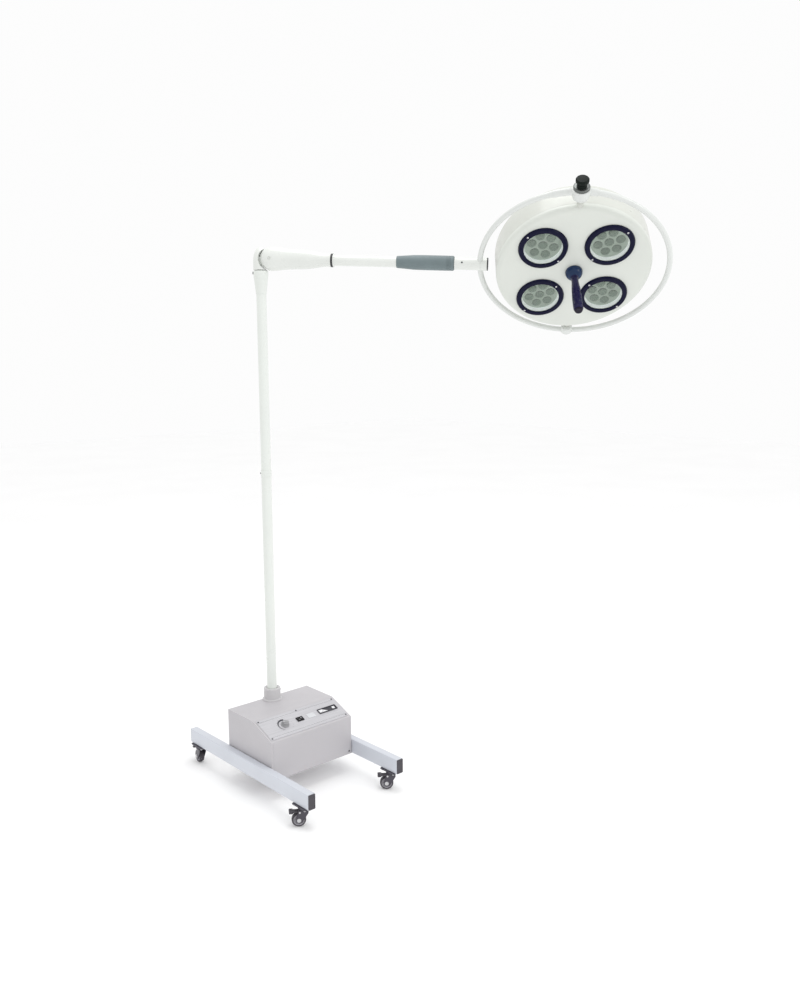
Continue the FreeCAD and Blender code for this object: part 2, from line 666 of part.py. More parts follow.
def arm_housing():
    """The tapered spring housing: a round root, a loft to a round nose, hollow inside."""
    root_half, nose = dim("root_width") / 2, dim("nose_diameter") / 2
    root_height = dim("root_radius")
    end = dim("housing_end")
    sections = []
    for latitude in (-85, -68, -48, -26, -6):
        turn = math.radians(latitude)
        reach = math.cos(turn)
        sections.append(ellipse_ring(offset + root_height * math.sin(turn), root_half * reach,
                                     root_height * reach))
    taper_start = offset + 30
    for share in (0, 0.35, 0.7, 1):
        x = taper_start + share * (end - taper_start)
        sections.append(ellipse_ring(x, root_half - 1 + share * (nose - root_half + 1),
                                     root_height - 1.5 + share * (nose - root_height + 1.5)))
    body = doc.addObject("Part::Feature", "HousingBody")
    body.Shape = Part.makeLoft(sections, True, False)
    body.Placement = ARM
    cavity_start = 80
    cavity = cone(at(ARM, cavity_start, 0, 0, "+x"), 27, 20, end - cavity_start + 1)
    slot_width = dim("tongue_width") + 1
    clearance = rod(at(ARM, offset, -slot_width / 2, 0, "+y"), "tongue_radius + 0.6", slot_width)
    mouth_start, mouth_sweep = 141, 114
    mouth = bind(doc.addObject("Part::Cylinder", "Mouth"), Radius=70, Height=slot_width)
    mouth.Angle = mouth_sweep
    # the mouth opens over the root's lower back quarter, where the tongue comes in
    mouth.Placement = frame(ARM, offset, slot_width / 2, 0, (1, 0, 0), 90) * Placement(
        Vector(0, 0, 0), Rotation(Vector(0, 0, 1), mouth_start))
    pin_hole = rod(at(ARM, offset, -50, 0, "+y"), "pin_diameter / 2", 100)
    return keep("arm_housing", cut(body, cavity, clearance, mouth, pin_hole))


arm_housing()
pin_half = dim("root_width") / 2 - 3
keep("knuckle_pin", rod(at(ARM, offset, -pin_half, 0, "+y"), "pin_diameter / 2", 2 * pin_half))


def balance_spring():
    """The compression spring that carries the arm, wound as a helix."""
    start, length, turns, mean, wire_radius = 84, 120, 11, 16, 2
    helix = doc.addObject("Part::Helix", "SpringPath")
    helix.Pitch = length / turns
    helix.Height = length
    helix.Radius = mean
    doc.recompute()
    path = Part.Wire(helix.Shape.Edges)
    section = Part.Wire(Part.makeCircle(wire_radius, Vector(mean, 0, 0), Vector(0, 1, 0)))
    coil = doc.addObject("Part::Feature", "SpringCoil")
    coil.Shape = path.makePipeShell([section], True, True)
    coil.Placement = at(ARM, start, 0, 0, "+x")
    doc.removeObject(helix.Name)
    return keep("balance_spring", coil)


balance_spring()
ring_start = dim("housing_end")
tube_start = ring_start - 36
keep("arm_ring", tube(at(ARM, ring_start, 0, 0, "+x"), "nose_diameter / 2 - 0.5",
                      "arm_tube_diameter / 2", "ring_length"))
tube_end = dim("grip_end") - 3
keep("arm_tube", tube(at(ARM, tube_start, 0, 0, "+x"), "arm_tube_diameter / 2",
                      "arm_tube_diameter / 2 - arm_tube_wall", tube_end - tube_start))


def grip_sleeve():
    """The rubbery sleeve: it widens over its first third and has rounded ends."""
    start, end = dim("grip_start"), dim("grip_end")
    flare_end, nose_length, tail_length = start + 75, 4, 6
    flare = cone(at(ARM, start + nose_length, 0, 0, "+x"), "grip_small / 2", "grip_large / 2",
                 flare_end - start - nose_length)
    nose = cone(at(ARM, start, 0, 0, "+x"), "grip_small / 2 - 1.5", "grip_small / 2",
                nose_length)
    barrel = rod(at(ARM, flare_end, 0, 0, "+x"), "grip_large / 2", end - tail_length - flare_end)
    tail = cone(at(ARM, end - tail_length, 0, 0, "+x"), "grip_large / 2", "grip_large / 2 - 3",
                tail_length)
    bore = rod(at(ARM, start, 0, 0, "+x"), "arm_tube_diameter / 2", 400)
    return keep("grip_sleeve", cut(fuse(nose, flare, barrel, tail), bore))


grip_sleeve()

# ------------------------------------------------------------------ ring yoke
YOKE = frame(frame(ARM, dim("hoop_reach")), 0, 0, 0, (1, 0, 0), dim("yoke_roll"))
hoop_radius = dim("hoop_radius")
hoop_left = -hoop_radius
HOOP_PLACE = at(YOKE, 0, 0, 0, "+y")


def hoop_torus():
    """The ring's outer form."""
    return ring(HOOP_PLACE, "hoop_radius", "hoop_tube / 2")


keep("hoop", cut(hoop_torus(), ring(HOOP_PLACE, "hoop_radius", "hoop_tube / 2 - tube_wall")))
plug_start = hoop_left + 3
end_tube_start = dim("grip_end") + 1 - dim("hoop_reach")
spigot_reach = 60
sleeve_part = rod(at(YOKE, end_tube_start, 0, 0, "+x"), "end_tube_diameter / 2",
                  plug_start - end_tube_start)
spigot_part = rod(at(YOKE, end_tube_start - spigot_reach, 0, 0, "+x"),
                  "arm_tube_diameter / 2 - arm_tube_wall - running_gap", spigot_reach + 4)
wiring_bore = rod(at(YOKE, end_tube_start - spigot_reach, 0, 0, "+x"),
                  "arm_tube_diameter / 2 - 2 * arm_tube_wall", 400)
keep("end_tube", cut(fuse(sleeve_part, spigot_part), hoop_torus(), wiring_bore))
plug_body = rod(at(YOKE, plug_start, 0, 0, "+x"), "end_tube_diameter / 2 + 1", "plug_length")
keep("end_plug", cut(plug_body, hoop_torus()))


def pivot_blocks():
    """The clamp block at the ring's top and the plain foot at its bottom."""
    saddle = rod(at(YOKE, -dim("block_length") * 0.36, 0, hoop_radius, "+x"),
                 "block_diameter / 2", "block_length * 0.8")
    cup_low, cup_high = hoop_radius - 32, hoop_radius - boss_root
    cup = cone(at(YOKE, 0, 0, cup_low), "boss_diameter / 2 - 12", "boss_diameter / 2",
               cup_high - cup_low)
    boss = rod(at(YOKE, 0, 0, cup_high), "boss_diameter / 2", "boss_height")
    stud = rod(at(YOKE, 0, 0, hoop_radius), stud_radius, stud_length)
    top = cut(fuse(saddle, cup, boss, stud), hoop_torus(), top_bore())
    foot_drop, foot_height = 10, 30
    foot = rod(at(YOKE, 0, 0, -hoop_radius - foot_drop), "foot_diameter / 2", foot_height)
    bottom = cut(foot, hoop_torus(), bottom_bore())
    return keep("pivot_blocks", group(top, bottom))


stud_radius, stud_length, boss_root = 6, 26, 8
PIN_RADIUS = "pivot_diameter / 2"
pin_reach = hoop_radius - dim("hoop_tube") / 2 - 0.5
bore_depth = 25


def top_bore():
    """The running bore for the head's upper pivot."""
    low = pin_reach + 0.3 - bore_depth
    return rod(at(YOKE, 0, 0, low), PIN_RADIUS + " + running_gap", bore_depth)


def bottom_bore():
    """The running bore for the head's lower pivot."""
    return rod(at(YOKE, 0, 0, -pin_reach - 0.3), PIN_RADIUS + " + running_gap", bore_depth)


pivot_blocks()


def tilt_knob():
    """The clamp knob over the top pivot: a metal skirt, a neck and a mushroom head."""
    start = hoop_radius - boss_root + dim("boss_height") + 0.5
    skirt_top = start + 9
    neck_top = skirt_top + 12
    flare_top = neck_top + 12
    skirt = rod(at(YOKE, 0, 0, start), "boss_diameter / 2 - 2", skirt_top - start)
    neck = cone(at(YOKE, 0, 0, skirt_top), "knob_diameter / 2 - 5", "knob_diameter / 2 - 8",
                neck_top - skirt_top)
    head = cone(at(YOKE, 0, 0, neck_top), "knob_diameter / 2 - 6", "knob_diameter / 2",
                flare_top - neck_top)
    crown = rod(at(YOKE, 0, 0, flare_top), "knob_diameter / 2",
                f"knob_height - {flare_top - start}")
    bore = rod(at(YOKE, 0, 0, start), f"{stud_radius} + running_gap",
               stud_length - (start - hoop_radius) + 1)
    return keep("tilt_knob", cut(fuse(skirt, neck, head, crown), bore))


tilt_knob()

# ------------------------------------------------------------------ head
PIVOT = frame(YOKE, 0, 0, 0, (0, 0, 1), dim("head_turn"))
HEAD = frame(PIVOT, 0, 0, 0, (1, 0, 0), dim("head_pitch"))
face_y = -dim("face_depth")


def head_form(inset, front):
    """The head's outer form: a drum closed by a flat dome, with a rounded shoulder."""
    back_centre = dim("head_back") - dim("dome_radius")
    drum = rod(at(HEAD, 0, front, 0, "+y"), f"head_radius - {inset}", 300)
    shoulder = ball(at(HEAD), f"shoulder_radius - {inset}")
    dome = ball(at(HEAD, 0, back_centre), f"dome_radius - {inset}")
    return common(drum, shoulder, dome)


def pod_frames():
    """The four lamp positions: a square, each with +X pointing away from the centre."""
    frames = []
    for turn in (45, 135, 225, 315):
        spoke = frame(HEAD, 0, 0, 0, (0, 1, 0), turn)
        frames.append(frame(spoke, dim("pod_spread"), face_y, 0))
    return frames


PODS = pod_frames()
face_sheet = dim("shell")
pin_start = dim("head_radius") + 4
pivots = []
pivot_root_radius = 10.5
for sign in (-1, 1):
    way = "+z" if sign > 0 else "-z"
    root_block = rod(at(PIVOT, 0, 0, sign * (pin_start - 8), way), pivot_root_radius, 18)
    pin_length = pin_reach - 0.4 - pin_start - 0.3
    pivots.append(root_block)
    pivots.append(rod(at(PIVOT, 0, 0, sign * pin_start, way), PIN_RADIUS, pin_length))
hollow = head_form("shell", face_y - 1)
shell_body = cut(head_form("0", face_y + face_sheet), hollow)
keep("head_shell", fuse(shell_body, *pivots))


def face_plate():
    """The flat round front, with four lamp openings and the handle's hole."""
    disc = rod(at(HEAD, 0, face_y, 0, "+y"), "head_radius - 0.5", "shell")
    holes = [rod(at(pod, 0, -5, 0, "+y"), "bezel_hole", 20) for pod in PODS]
    spindle = rod(at(HEAD, 0, face_y - 5, 0, "+y"), 8.05, 20)
    return keep("face_plate", cut(disc, *holes, spindle))


face_plate()
lip = 2.5


def lamp_bezels():
    """Four rings screwed to the face, each with a lip that holds its glass."""
    rings = []
    for pod in PODS:
        body = rod(at(pod, 0, 0, 0, "-y"), "bezel_radius - 4", "bezel_height")
        skirt = cone(at(pod, 0, 0, 0, "-y"), "bezel_radius", "bezel_radius - 4", "bezel_height")
        opening = rod(at(pod, 0, 1, 0, "-y"), "bezel_hole - 1", "bezel_height + 2")
        seat = rod(at(pod, 0, 1, 0, "-y"), "bezel_hole + 2", "glass + 3")
        rings.append(cut(fuse(body, skirt), opening, seat))
    return keep("lamp_bezels", group(*rings))


lamp_bezels()
keep("lamp_glasses", group(*[rod(at(pod, 0, -2, 0, "-y"), "bezel_hole + 1.8", "glass - 0.2")
                             for pod in PODS]))


def reflector_cups():
    """Four white cups that line the lamp openings."""
    cups = []
    for pod in PODS:
        front = at(pod, 0, 0, 0, "+y")
        outer = cone(front, "bezel_hole - 0.2", "bezel_hole - 8", "cup_depth")
        inner = cone(front, "bezel_hole - 0.2 - cup_wall", "bezel_hole - 8 - cup_wall", "cup_depth")
        cups.append(cut(outer, inner))
    return keep("reflector_cups", group(*cups))


reflector_cups()


def led_modules():
    """In each cup: a board with seven lens cups and a finned heat sink behind."""
    modules = []
    board_y = dim("cup_depth") + 0.2
    sink_y, fin_y, sink_radius = board_y + 4, board_y + 10, 48
    for pod in PODS:
        board = rod(at(pod, 0, board_y, 0, "+y"), "bezel_hole - 8", sink_y - board_y)
        spots = [(0, 0)]
        for step in range(6):
            turn = math.radians(60 * step + 30)
            spots.append((dim("led_ring") * math.cos(turn), dim("led_ring") * math.sin(turn)))
        lenses = [cone(at(pod, x, board_y, z, "-y"), "led_radius - 6", "led_radius", 14)
                  for x, z in spots]
        sink_block = rod(at(pod, 0, sink_y, 0, "+y"), sink_radius, fin_y - sink_y)
        fins = [box(at(pod, 0, fin_y, z, "+y"), 60, 3, 22) for z in (-24, -12, 0, 12, 24)]
        modules.append(fuse(board, *lenses, sink_block, *fins))
    return keep("led_modules", group(*modules))


led_modules()
bezel_screw_reach = (dim("bezel_radius") + dim("bezel_hole")) / 2 + 0.5
keep("bezel_screws", group(*[rod(at(pod, sign * bezel_screw_reach, -dim("bezel_height"), 0, "-y"),
                                 2.6, 1) for pod in PODS for sign in (-1, 1)]))


# ------------------------------------------------------------------ handle
handle_gap = 0.5
dome_centre = face_y - handle_gap
globe_y = dome_centre - dim("dome_depth")


def handle_dome():
    """The round cup at the head's centre, with its spindle through the face."""
    globe = ball(at(HEAD, 0, globe_y), "dome_size")
    keep_front = rod(at(HEAD, 0, dome_centre, 0, "-y"), 60, 60)
    spindle = rod(at(HEAD, 0, face_y + 12, 0, "-y"), 8, 22)
    return keep("handle_dome", fuse(common(globe, keep_front), spindle))


def handle_stick():
    """The sterilisable grip: a neck that swells to a rounded end, hollow at the tip."""
    start = globe_y - dim("dome_size") + 4
    neck_length, barrel_length, end_length = 30, 40, 8
    swell_length = dim("handle_length") - 110
    neck = cone(at(HEAD, 0, start, 0, "-y"), "neck_diameter / 2", "neck_diameter / 2 + 1",
                neck_length)
    swell_start = start - neck_length
    swell = cone(at(HEAD, 0, swell_start, 0, "-y"), "neck_diameter / 2 + 1",
                 "grip_diameter / 2", "handle_length - 110")
    low = swell_start - swell_length
    barrel = rod(at(HEAD, 0, low, 0, "-y"), "grip_diameter / 2", barrel_length)
    end = cone(at(HEAD, 0, low - barrel_length, 0, "-y"), "grip_diameter / 2",
               "grip_diameter / 2 - 2.5", end_length)
    tip = low - barrel_length - end_length
    pocket = rod(at(HEAD, 0, tip + 12, 0, "-y"), "button_diameter / 2 + 0.3", 20)
    dome = ball(at(HEAD, 0, globe_y), "dome_size")
    keep("handle_grip", cut(fuse(neck, swell, barrel, end), pocket, dome))
    button = rod(at(HEAD, 0, tip + 8, 0, "-y"), "button_diameter / 2", 14)
    keep("handle_button", button)


handle_dome()
handle_stick()

# ------------------------------------------------------------------ check and write
doc.recompute()
for thing in doc.Objects:
    if "Invalid" in thing.State or "Error" in thing.State:
        raise RuntimeError(f"{thing.Label}: {thing.State}")
for part in made:
    if part.Shape.isNull() or not part.Shape.isValid() or not part.Shape.Solids:
        raise RuntimeError(f"{part.Label} is not a valid solid")

os.makedirs("parts", exist_ok=True)
for part in made:
    part.Shape.exportStep(f"parts/{part.Label}.step")
print(len(made), "nodes")
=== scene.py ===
"""Looks of the mobile surgical light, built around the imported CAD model."""
import json
import math

import bmesh
import bpy
from mathutils import Matrix, Vector

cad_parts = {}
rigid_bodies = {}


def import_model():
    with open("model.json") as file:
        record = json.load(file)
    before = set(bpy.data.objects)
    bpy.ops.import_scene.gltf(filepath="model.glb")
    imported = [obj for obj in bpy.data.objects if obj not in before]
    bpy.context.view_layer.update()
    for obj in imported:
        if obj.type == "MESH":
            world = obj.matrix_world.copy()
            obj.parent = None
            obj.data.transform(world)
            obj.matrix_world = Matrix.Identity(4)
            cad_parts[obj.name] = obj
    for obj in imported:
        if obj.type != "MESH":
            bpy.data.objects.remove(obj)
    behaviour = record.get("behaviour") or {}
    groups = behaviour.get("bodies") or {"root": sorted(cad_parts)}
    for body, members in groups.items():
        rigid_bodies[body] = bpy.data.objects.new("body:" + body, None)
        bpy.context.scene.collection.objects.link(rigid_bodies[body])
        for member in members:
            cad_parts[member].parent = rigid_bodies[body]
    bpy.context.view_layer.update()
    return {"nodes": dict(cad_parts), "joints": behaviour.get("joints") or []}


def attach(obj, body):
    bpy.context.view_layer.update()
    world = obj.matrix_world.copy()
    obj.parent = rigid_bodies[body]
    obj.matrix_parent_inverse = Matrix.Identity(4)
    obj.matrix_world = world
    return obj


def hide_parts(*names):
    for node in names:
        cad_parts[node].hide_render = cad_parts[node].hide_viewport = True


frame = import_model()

MM = 0.001

# ------------------------------------------------------------------ camera and stage
CAMERA_PLACE = Vector((-1.9614, -2.8955, 1.6051))
CAMERA_AZIMUTH = math.radians(-42.38)
CAMERA_DOWN = math.radians(9.01)
CAMERA_ROLL = math.radians(-0.25)
FOCAL_LENGTH = 41.71


def make_camera():
    """The camera at the photograph's viewing angle."""
    data = bpy.data.cameras.new("camera")
    data.sensor_fit = "HORIZONTAL"
    data.sensor_width = 36
    data.lens = FOCAL_LENGTH
    data.clip_end = 60
    camera = bpy.data.objects.new("camera", data)
    bpy.context.scene.collection.objects.link(camera)
    turn = (Matrix.Rotation(CAMERA_AZIMUTH, 4, "Z")
            @ Matrix.Rotation(math.pi / 2 - CAMERA_DOWN, 4, "X")
            @ Matrix.Rotation(CAMERA_ROLL, 4, "Z"))
    camera.matrix_world = Matrix.Translation(CAMERA_PLACE) @ turn
    bpy.context.scene.camera = camera


make_camera()
bpy.context.scene.view_settings.view_transform = "Standard"


# ------------------------------------------------------------------ frames of the model
def axes_frame(origin, x, z):
    """A frame from its origin, its X and its Z."""
    x, z = Vector(x).normalized(), Vector(z).normalized()
    y = z.cross(x).normalized()
    turn = Matrix((x, y, z)).transposed().to_4x4()
    return Matrix.Translation(Vector(origin)) @ turn


JOINTS = {joint["name"]: joint for joint in frame["joints"]}


def joint_axis(name):
    """A joint's axis."""
    return Vector(JOINTS[name]["axis"])


def joint_place(name):
    """A point on a joint's axis."""
    return Vector(JOINTS[name]["pos_m"])


arm_x = joint_axis("yoke_roll")
arm_y = -joint_axis("arm_tilt")
# ARM: +X along the arm, its origin an elbow's offset behind the elbow's pivot
ELBOW_OFFSET = 40
ARM = axes_frame(joint_place("arm_tilt") - arm_x * ELBOW_OFFSET * MM, arm_x, arm_x.cross(arm_y))
# YOKE: the ring lies in its XZ plane; PIVOT: the head's two pins lie along its Z;
# HEAD: the lamps shine towards its -Y
ring_z = joint_axis("head_tilt")
YOKE = axes_frame(joint_place("head_tilt"), arm_x, ring_z)
head_y = -joint_axis("handle_turn")
head_x = head_y.cross(ring_z)
PIVOT = axes_frame(joint_place("head_tilt"), head_x, ring_z)
HEAD = axes_frame(joint_place("head_tilt"), head_x, head_x.cross(head_y))
panel_z = -joint_axis("dimmer_turn")
PANEL = axes_frame((0, -0.199, 0.2485), joint_axis("mains_rocker_tilt"), panel_z)
WORLD = Matrix.Identity(4)


def spot(where, x=0, y=0, z=0, way="+z"):
    """A frame inside another one, given in millimetres, whose +Z points one way."""
    turns = {"+z": (0, "X"), "-z": (180, "X"), "+x": (90, "Y"), "-x": (-90, "Y"),
             "+y": (-90, "X"), "-y": (90, "X")}
    angle, axis = turns[way]
    return (where @ Matrix.Translation(Vector((x, y, z)) * MM)
            @ Matrix.Rotation(math.radians(angle), 4, axis))


def turned(where, angle, axis="Z"):
    """A frame turned about one of its own axes, in degrees."""
    return where @ Matrix.Rotation(math.radians(angle), 4, axis)


# ------------------------------------------------------------------ materials
class Nodes:
    """A short way to write a material's node tree."""

    def __init__(self, name):
        self.material = bpy.data.materials.new(name)
        self.material.use_nodes = True
        self.tree = self.material.node_tree
        self.shader = self.tree.nodes["Principled BSDF"]
        self.place = self.tree.nodes.new("ShaderNodeTexCoord").outputs["Object"]

    def add(self, kind, **settings):
        """A node, with its settings and its plain input values."""
        node = self.tree.nodes.new("ShaderNode" + kind)
        for key, value in settings.items():
            if key[0].isupper():
                node.inputs[key.replace("_", " ")].default_value = value
            else:
                setattr(node, key, value)
        return node

    def link(self, output, target):
        """Join an output to an input."""
        self.tree.links.new(output, target)

    def noise(self, scale, detail=3, stretch=None, roughness=0.5):
        """Noise in object space, stretched along an axis if asked."""
        source = self.place
        if stretch:
            mapping = self.add("Mapping")
            mapping.inputs["Scale"].default_value = stretch
            self.link(source, mapping.inputs["Vector"])
            source = mapping.outputs["Vector"]
        node = self.add("TexNoise", Scale=scale, Detail=detail, Roughness=roughness)
        self.link(source, node.inputs["Vector"])
        return node.outputs["Fac"]

    def look(self, **values):
        """Plain values of the shader's own inputs."""
        for key, value in values.items():
            self.shader.inputs[key.replace("_", " ")].default_value = value

    def ramp(self, source, stops, target):
        """A colour ramp from a value to one of the shader's inputs."""
        node = self.add("ValToRGB")
        elements = node.color_ramp.elements
        while len(elements) < len(stops):
            elements.new(0.5)
        for element, (position, colour) in zip(elements, stops):
            element.position = position
            element.color = (*colour, 1)
        self.link(source, node.inputs["Fac"])
        self.link(node.outputs["Color"], self.shader.inputs[target])

    def spread(self, source, low, high, target):
        """Noise, which lies mostly between 0.3 and 0.7, stretched to a range of an input."""
        node = self.add("MapRange", From_Min=0.3, From_Max=0.7, To_Min=low, To_Max=high)
        self.link(source, node.inputs["Value"])
        self.link(node.outputs["Result"], self.shader.inputs[target])

    def bump(self, source, height, strength=1.0):
        """A bump of a height in millimetres."""
        node = self.add("Bump", Strength=strength, Distance=height * MM)
        self.link(source, node.inputs["Height"])
        self.link(node.outputs["Normal"], self.shader.inputs["Normal"])


def shade(colour, factor):
    """A colour made lighter or darker."""
    return tuple(min(1.0, channel * factor) for channel in colour)


TONE_DRIFT = 0.035


def coating(name, colour, roughness=0.35, peel=0.012, peel_scale=420, metallic=0.0, coat=0.0,
            specular=0.5, painted_glow=0.0):
    """Paint or moulded plastic: a slow drift of tone, fine mottling and an orange-peel skin;
    painted_glow adds emission in the paint's own colour, a painted glow.
    """
    n = Nodes(name)
    slow = n.noise(5.5, 3)
    fine = n.noise(160, 4)
    mix = n.add("Math", operation="MULTIPLY_ADD")
    mix.inputs[1].default_value = 0.25
    n.link(fine, mix.inputs[0])
    n.link(slow, mix.inputs[2])
    n.ramp(mix.outputs["Value"], [(0.42, shade(colour, 1 - TONE_DRIFT)), (0.62, colour),
                                  (0.82, shade(colour, 1 + TONE_DRIFT * 0.5))], "Base Color")
    n.spread(n.noise(28, 5), roughness - 0.05, roughness + 0.07, "Roughness")
    n.bump(n.noise(peel_scale, 2), peel)
    # emission in the paint's own colour: a painted glow, for parts that are no lamp
    n.look(Metallic=metallic, Specular_IOR_Level=specular, Emission_Color=(*colour, 1),
           Emission_Strength=painted_glow, Coat_Weight=coat, Coat_Roughness=0.12)
    return n.material


def grained(name, colour, roughness=0.55, depth=0.05, scale=900, lift=1.25, sheen=0.0,
            specular=0.5):
    """Moulded plastic or rubber with a fine leather-like grain that catches the light."""
    n = Nodes(name)
    cells = n.add("TexVoronoi", Scale=scale)
    n.link(n.place, cells.inputs["Vector"])
    dust = n.noise(14, 6, roughness=0.65)
    n.ramp(dust, [(0.35, shade(colour, 0.88)), (0.6, colour), (0.8, shade(colour, lift))],
           "Base Color")
    n.spread(n.noise(60, 4), roughness - 0.07, roughness + 0.08, "Roughness")
    n.bump(cells.outputs["Distance"], depth, 0.8)
    n.look(Sheen_Weight=sheen, Specular_IOR_Level=specular)
    return n.material


def brushed(name, colour, roughness=0.3, stretch=(8, 900, 900), depth=0.006, metallic=1.0):
    """Metal with fine lines along its frame's X."""
    n = Nodes(name)
    lines = n.noise(1, 3, stretch=stretch)
    n.ramp(lines, [(0.3, shade(colour, 0.82)), (0.7, shade(colour, 1.1))], "Base Color")
    n.spread(lines, roughness - 0.06, roughness + 0.12, "Roughness")
    n.bump(lines, depth)
    n.look(Metallic=metallic)
    return n.material


def clear(name, colour, roughness=0.03, ior=1.49):
    """Clear glass or acrylic with faint wipe marks."""
    n = Nodes(name)
    wipes = n.noise(9, 5, stretch=(1, 1, 6))
    n.spread(wipes, roughness, roughness + 0.05, "Roughness")
    n.ramp(n.noise(6, 2), [(0.3, shade(colour, 0.97)), (0.7, colour)], "Base Color")
    n.look(Transmission_Weight=1.0, IOR=ior)
    return n.material


M = {
    "column": coating("column_white", (0.74, 0.77, 0.735), 0.30, coat=0.2),
    "arm": coating("arm_white", (0.73, 0.75, 0.72), 0.28, coat=0.25),
    "head": coating("head_white", (0.60, 0.615, 0.57), 0.32, coat=0.1),
    "face": coating("face_white", (0.67, 0.695, 0.65), 0.34, coat=0.1, peel=0.015),
    "hoop": coating("hoop_white", (0.68, 0.70, 0.68), 0.30, coat=0.2),
    "rail": coating("rail_paint", (0.60, 0.625, 0.68), 0.33, coat=0.15),
    "cover": coating("cover_paint", (0.50, 0.485, 0.505), 0.42, peel=0.04, peel_scale=260),
    "plate": brushed("panel_silver", (0.56, 0.555, 0.58), 0.42, metallic=0.35),
    "collar": coating("collar_paint", (0.56, 0.55, 0.56), 0.38),
    "cap": grained("cap_black", (0.055, 0.05, 0.06), 0.5),
    "caster": coating("caster_black", (0.05, 0.045, 0.06), 0.35, peel=0.02, coat=0.1),
    "tyre": grained("tyre_rubber", (0.055, 0.05, 0.06), 0.62, 0.06, 700, lift=1.6),
    "hub": grained("hub_grey", (0.36, 0.35, 0.38), 0.45, 0.03, 1200),
    "steel": brushed("steel", (0.62, 0.62, 0.63), 0.28, stretch=(60, 60, 900)),
    "screw": coating("screw_nickel", (0.72, 0.72, 0.73), 0.22, metallic=1.0, peel=0.004),
    "dark_screw": coating("screw_dark", (0.06, 0.06, 0.065), 0.35, metallic=0.4, specular=0.3),
    "black": coating("switch_black", (0.014, 0.014, 0.016), 0.25, peel=0.006,
                     coat=0.1, specular=0.25),
    "knob": grained("knob_black", (0.006, 0.010, 0.008), 0.40, 0.03, 1100,
                    lift=1.7, specular=0.12),
    "skirt": coating("skirt_metal", (0.15, 0.16, 0.155), 0.30, metallic=0.9, peel=0.01),
    "dimmer": grained("dimmer_grey", (0.34, 0.34, 0.35), 0.45, 0.02, 1300),
    "grip": grained("grip_rubber", (0.155, 0.20, 0.21), 0.55, 0.05, 800, lift=1.12, sheen=0.15),
    "ring": grained("ring_dark", (0.05, 0.05, 0.052), 0.5, specular=0.3),
    "bezel": coating("bezel_navy", (0.004, 0.0045, 0.024), 0.26, peel=0.01,
                     coat=0.02, specular=0.10),
    # the cups glow although the lamps are off: painted light that brightens the shaded cup wall
    # behind the glass
    "cup": coating("cup_white", (0.90, 0.90, 0.93), 0.18, peel=0.004, coat=0.3, painted_glow=0.35),
    "board": coating("led_board", (0.50, 0.56, 0.50), 0.45, peel=0.02),
    "glass": clear("lamp_glass", (0.90, 0.955, 0.91)),
    "lens": clear("led_lens", (0.84, 0.90, 0.85), 0.10, 1.4),
    "die": coating("led_die", (0.34, 0.40, 0.35), 0.4),
    "dome": coating("dome_blue", (0.004, 0.022, 0.075), 0.14, peel=0.004,
                    coat=0.12, specular=0.25),
    "handle": coating("handle_indigo", (0.009, 0.007, 0.05), 0.26, peel=0.008,
                      coat=0.1, specular=0.2),
    "tip": grained("button_dark", (0.008, 0.005, 0.02), 0.35, 0.02, 1200, specular=0.25),
    "ink": coating("print_dark", (0.035, 0.035, 0.045), 0.5),
    "dial": coating("dial_white", (0.80, 0.80, 0.82), 0.45),
    "window": coating("window_grey", (0.62, 0.63, 0.65), 0.3, coat=0.1),
    "brass": coating("blade_brass", (0.70, 0.55, 0.25), 0.25, metallic=1.0),
    "circuit": grained("circuit_green", (0.02, 0.12, 0.05), 0.4),
    "iron": grained("transformer_iron", (0.10, 0.10, 0.11), 0.5),
    "battery": grained("battery_case", (0.03, 0.03, 0.035), 0.45),
}

# ------------------------------------------------------------------ mesh helpers
SMOOTH_ANGLE = math.radians(32)


def piece(name, mesh, place, material, body, nodes=(), bevel=0.0, segments=3):
    """Put a mesh in a frame, give it its material and a rounded edge, and let it ride."""
    obj = bpy.data.objects.new(name, mesh)
    bpy.context.scene.collection.objects.link(obj)
    obj.matrix_world = place
    for one in (material if isinstance(material, (list, tuple)) else [material]):
        mesh.materials.append(M[one])
    if bevel:
        rounding = obj.modifiers.new("rounding", "BEVEL")
        rounding.width = bevel * MM
        rounding.segments = segments
        rounding.limit_method = "ANGLE"
        rounding.angle_limit = SMOOTH_ANGLE
        rounding.harden_normals = True
    mesh.shade_smooth()
    mesh.set_sharp_from_angle(angle=SMOOTH_ANGLE)
    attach(obj, body)
    if nodes:
        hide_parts(*([nodes] if isinstance(nodes, str) else nodes))
    return obj


def to_mesh(name, build):
    """A mesh from a bmesh, with its normals outwards."""
    bmesh.ops.remove_doubles(build, verts=build.verts, dist=1e-7)
    bmesh.ops.recalc_face_normals(build, faces=build.faces)
    mesh = bpy.data.meshes.new(name)
    build.to_mesh(mesh)
    build.free()
    return mesh


def rounded(corners, steps=5, closed=False):
    """An outline with its corners rounded: each corner is (x, y) or (x, y, radius)."""
    result = []
    count = len(corners)
    for index, corner in enumerate(corners):
        here = Vector(corner[:2])
        radius = corner[2] if len(corner) > 2 else 0
        at_end = not closed and index in (0, count - 1)
        if radius <= 0 or at_end:
            result.append(here)
            continue
        before = Vector(corners[index - 1][:2]) - here
        after = Vector(corners[(index + 1) % count][:2]) - here
        half = before.angle(after) / 2
        reach = min(radius / math.tan(half), 0.49 * before.length, 0.49 * after.length)
        start, end = here + before.normalized() * reach, here + after.normalized() * reach
        for step in range(steps + 1):
            share = step / steps
            result.append((1 - share) ** 2 * start + 2 * share * (1 - share) * here
                          + share ** 2 * end)
    return result


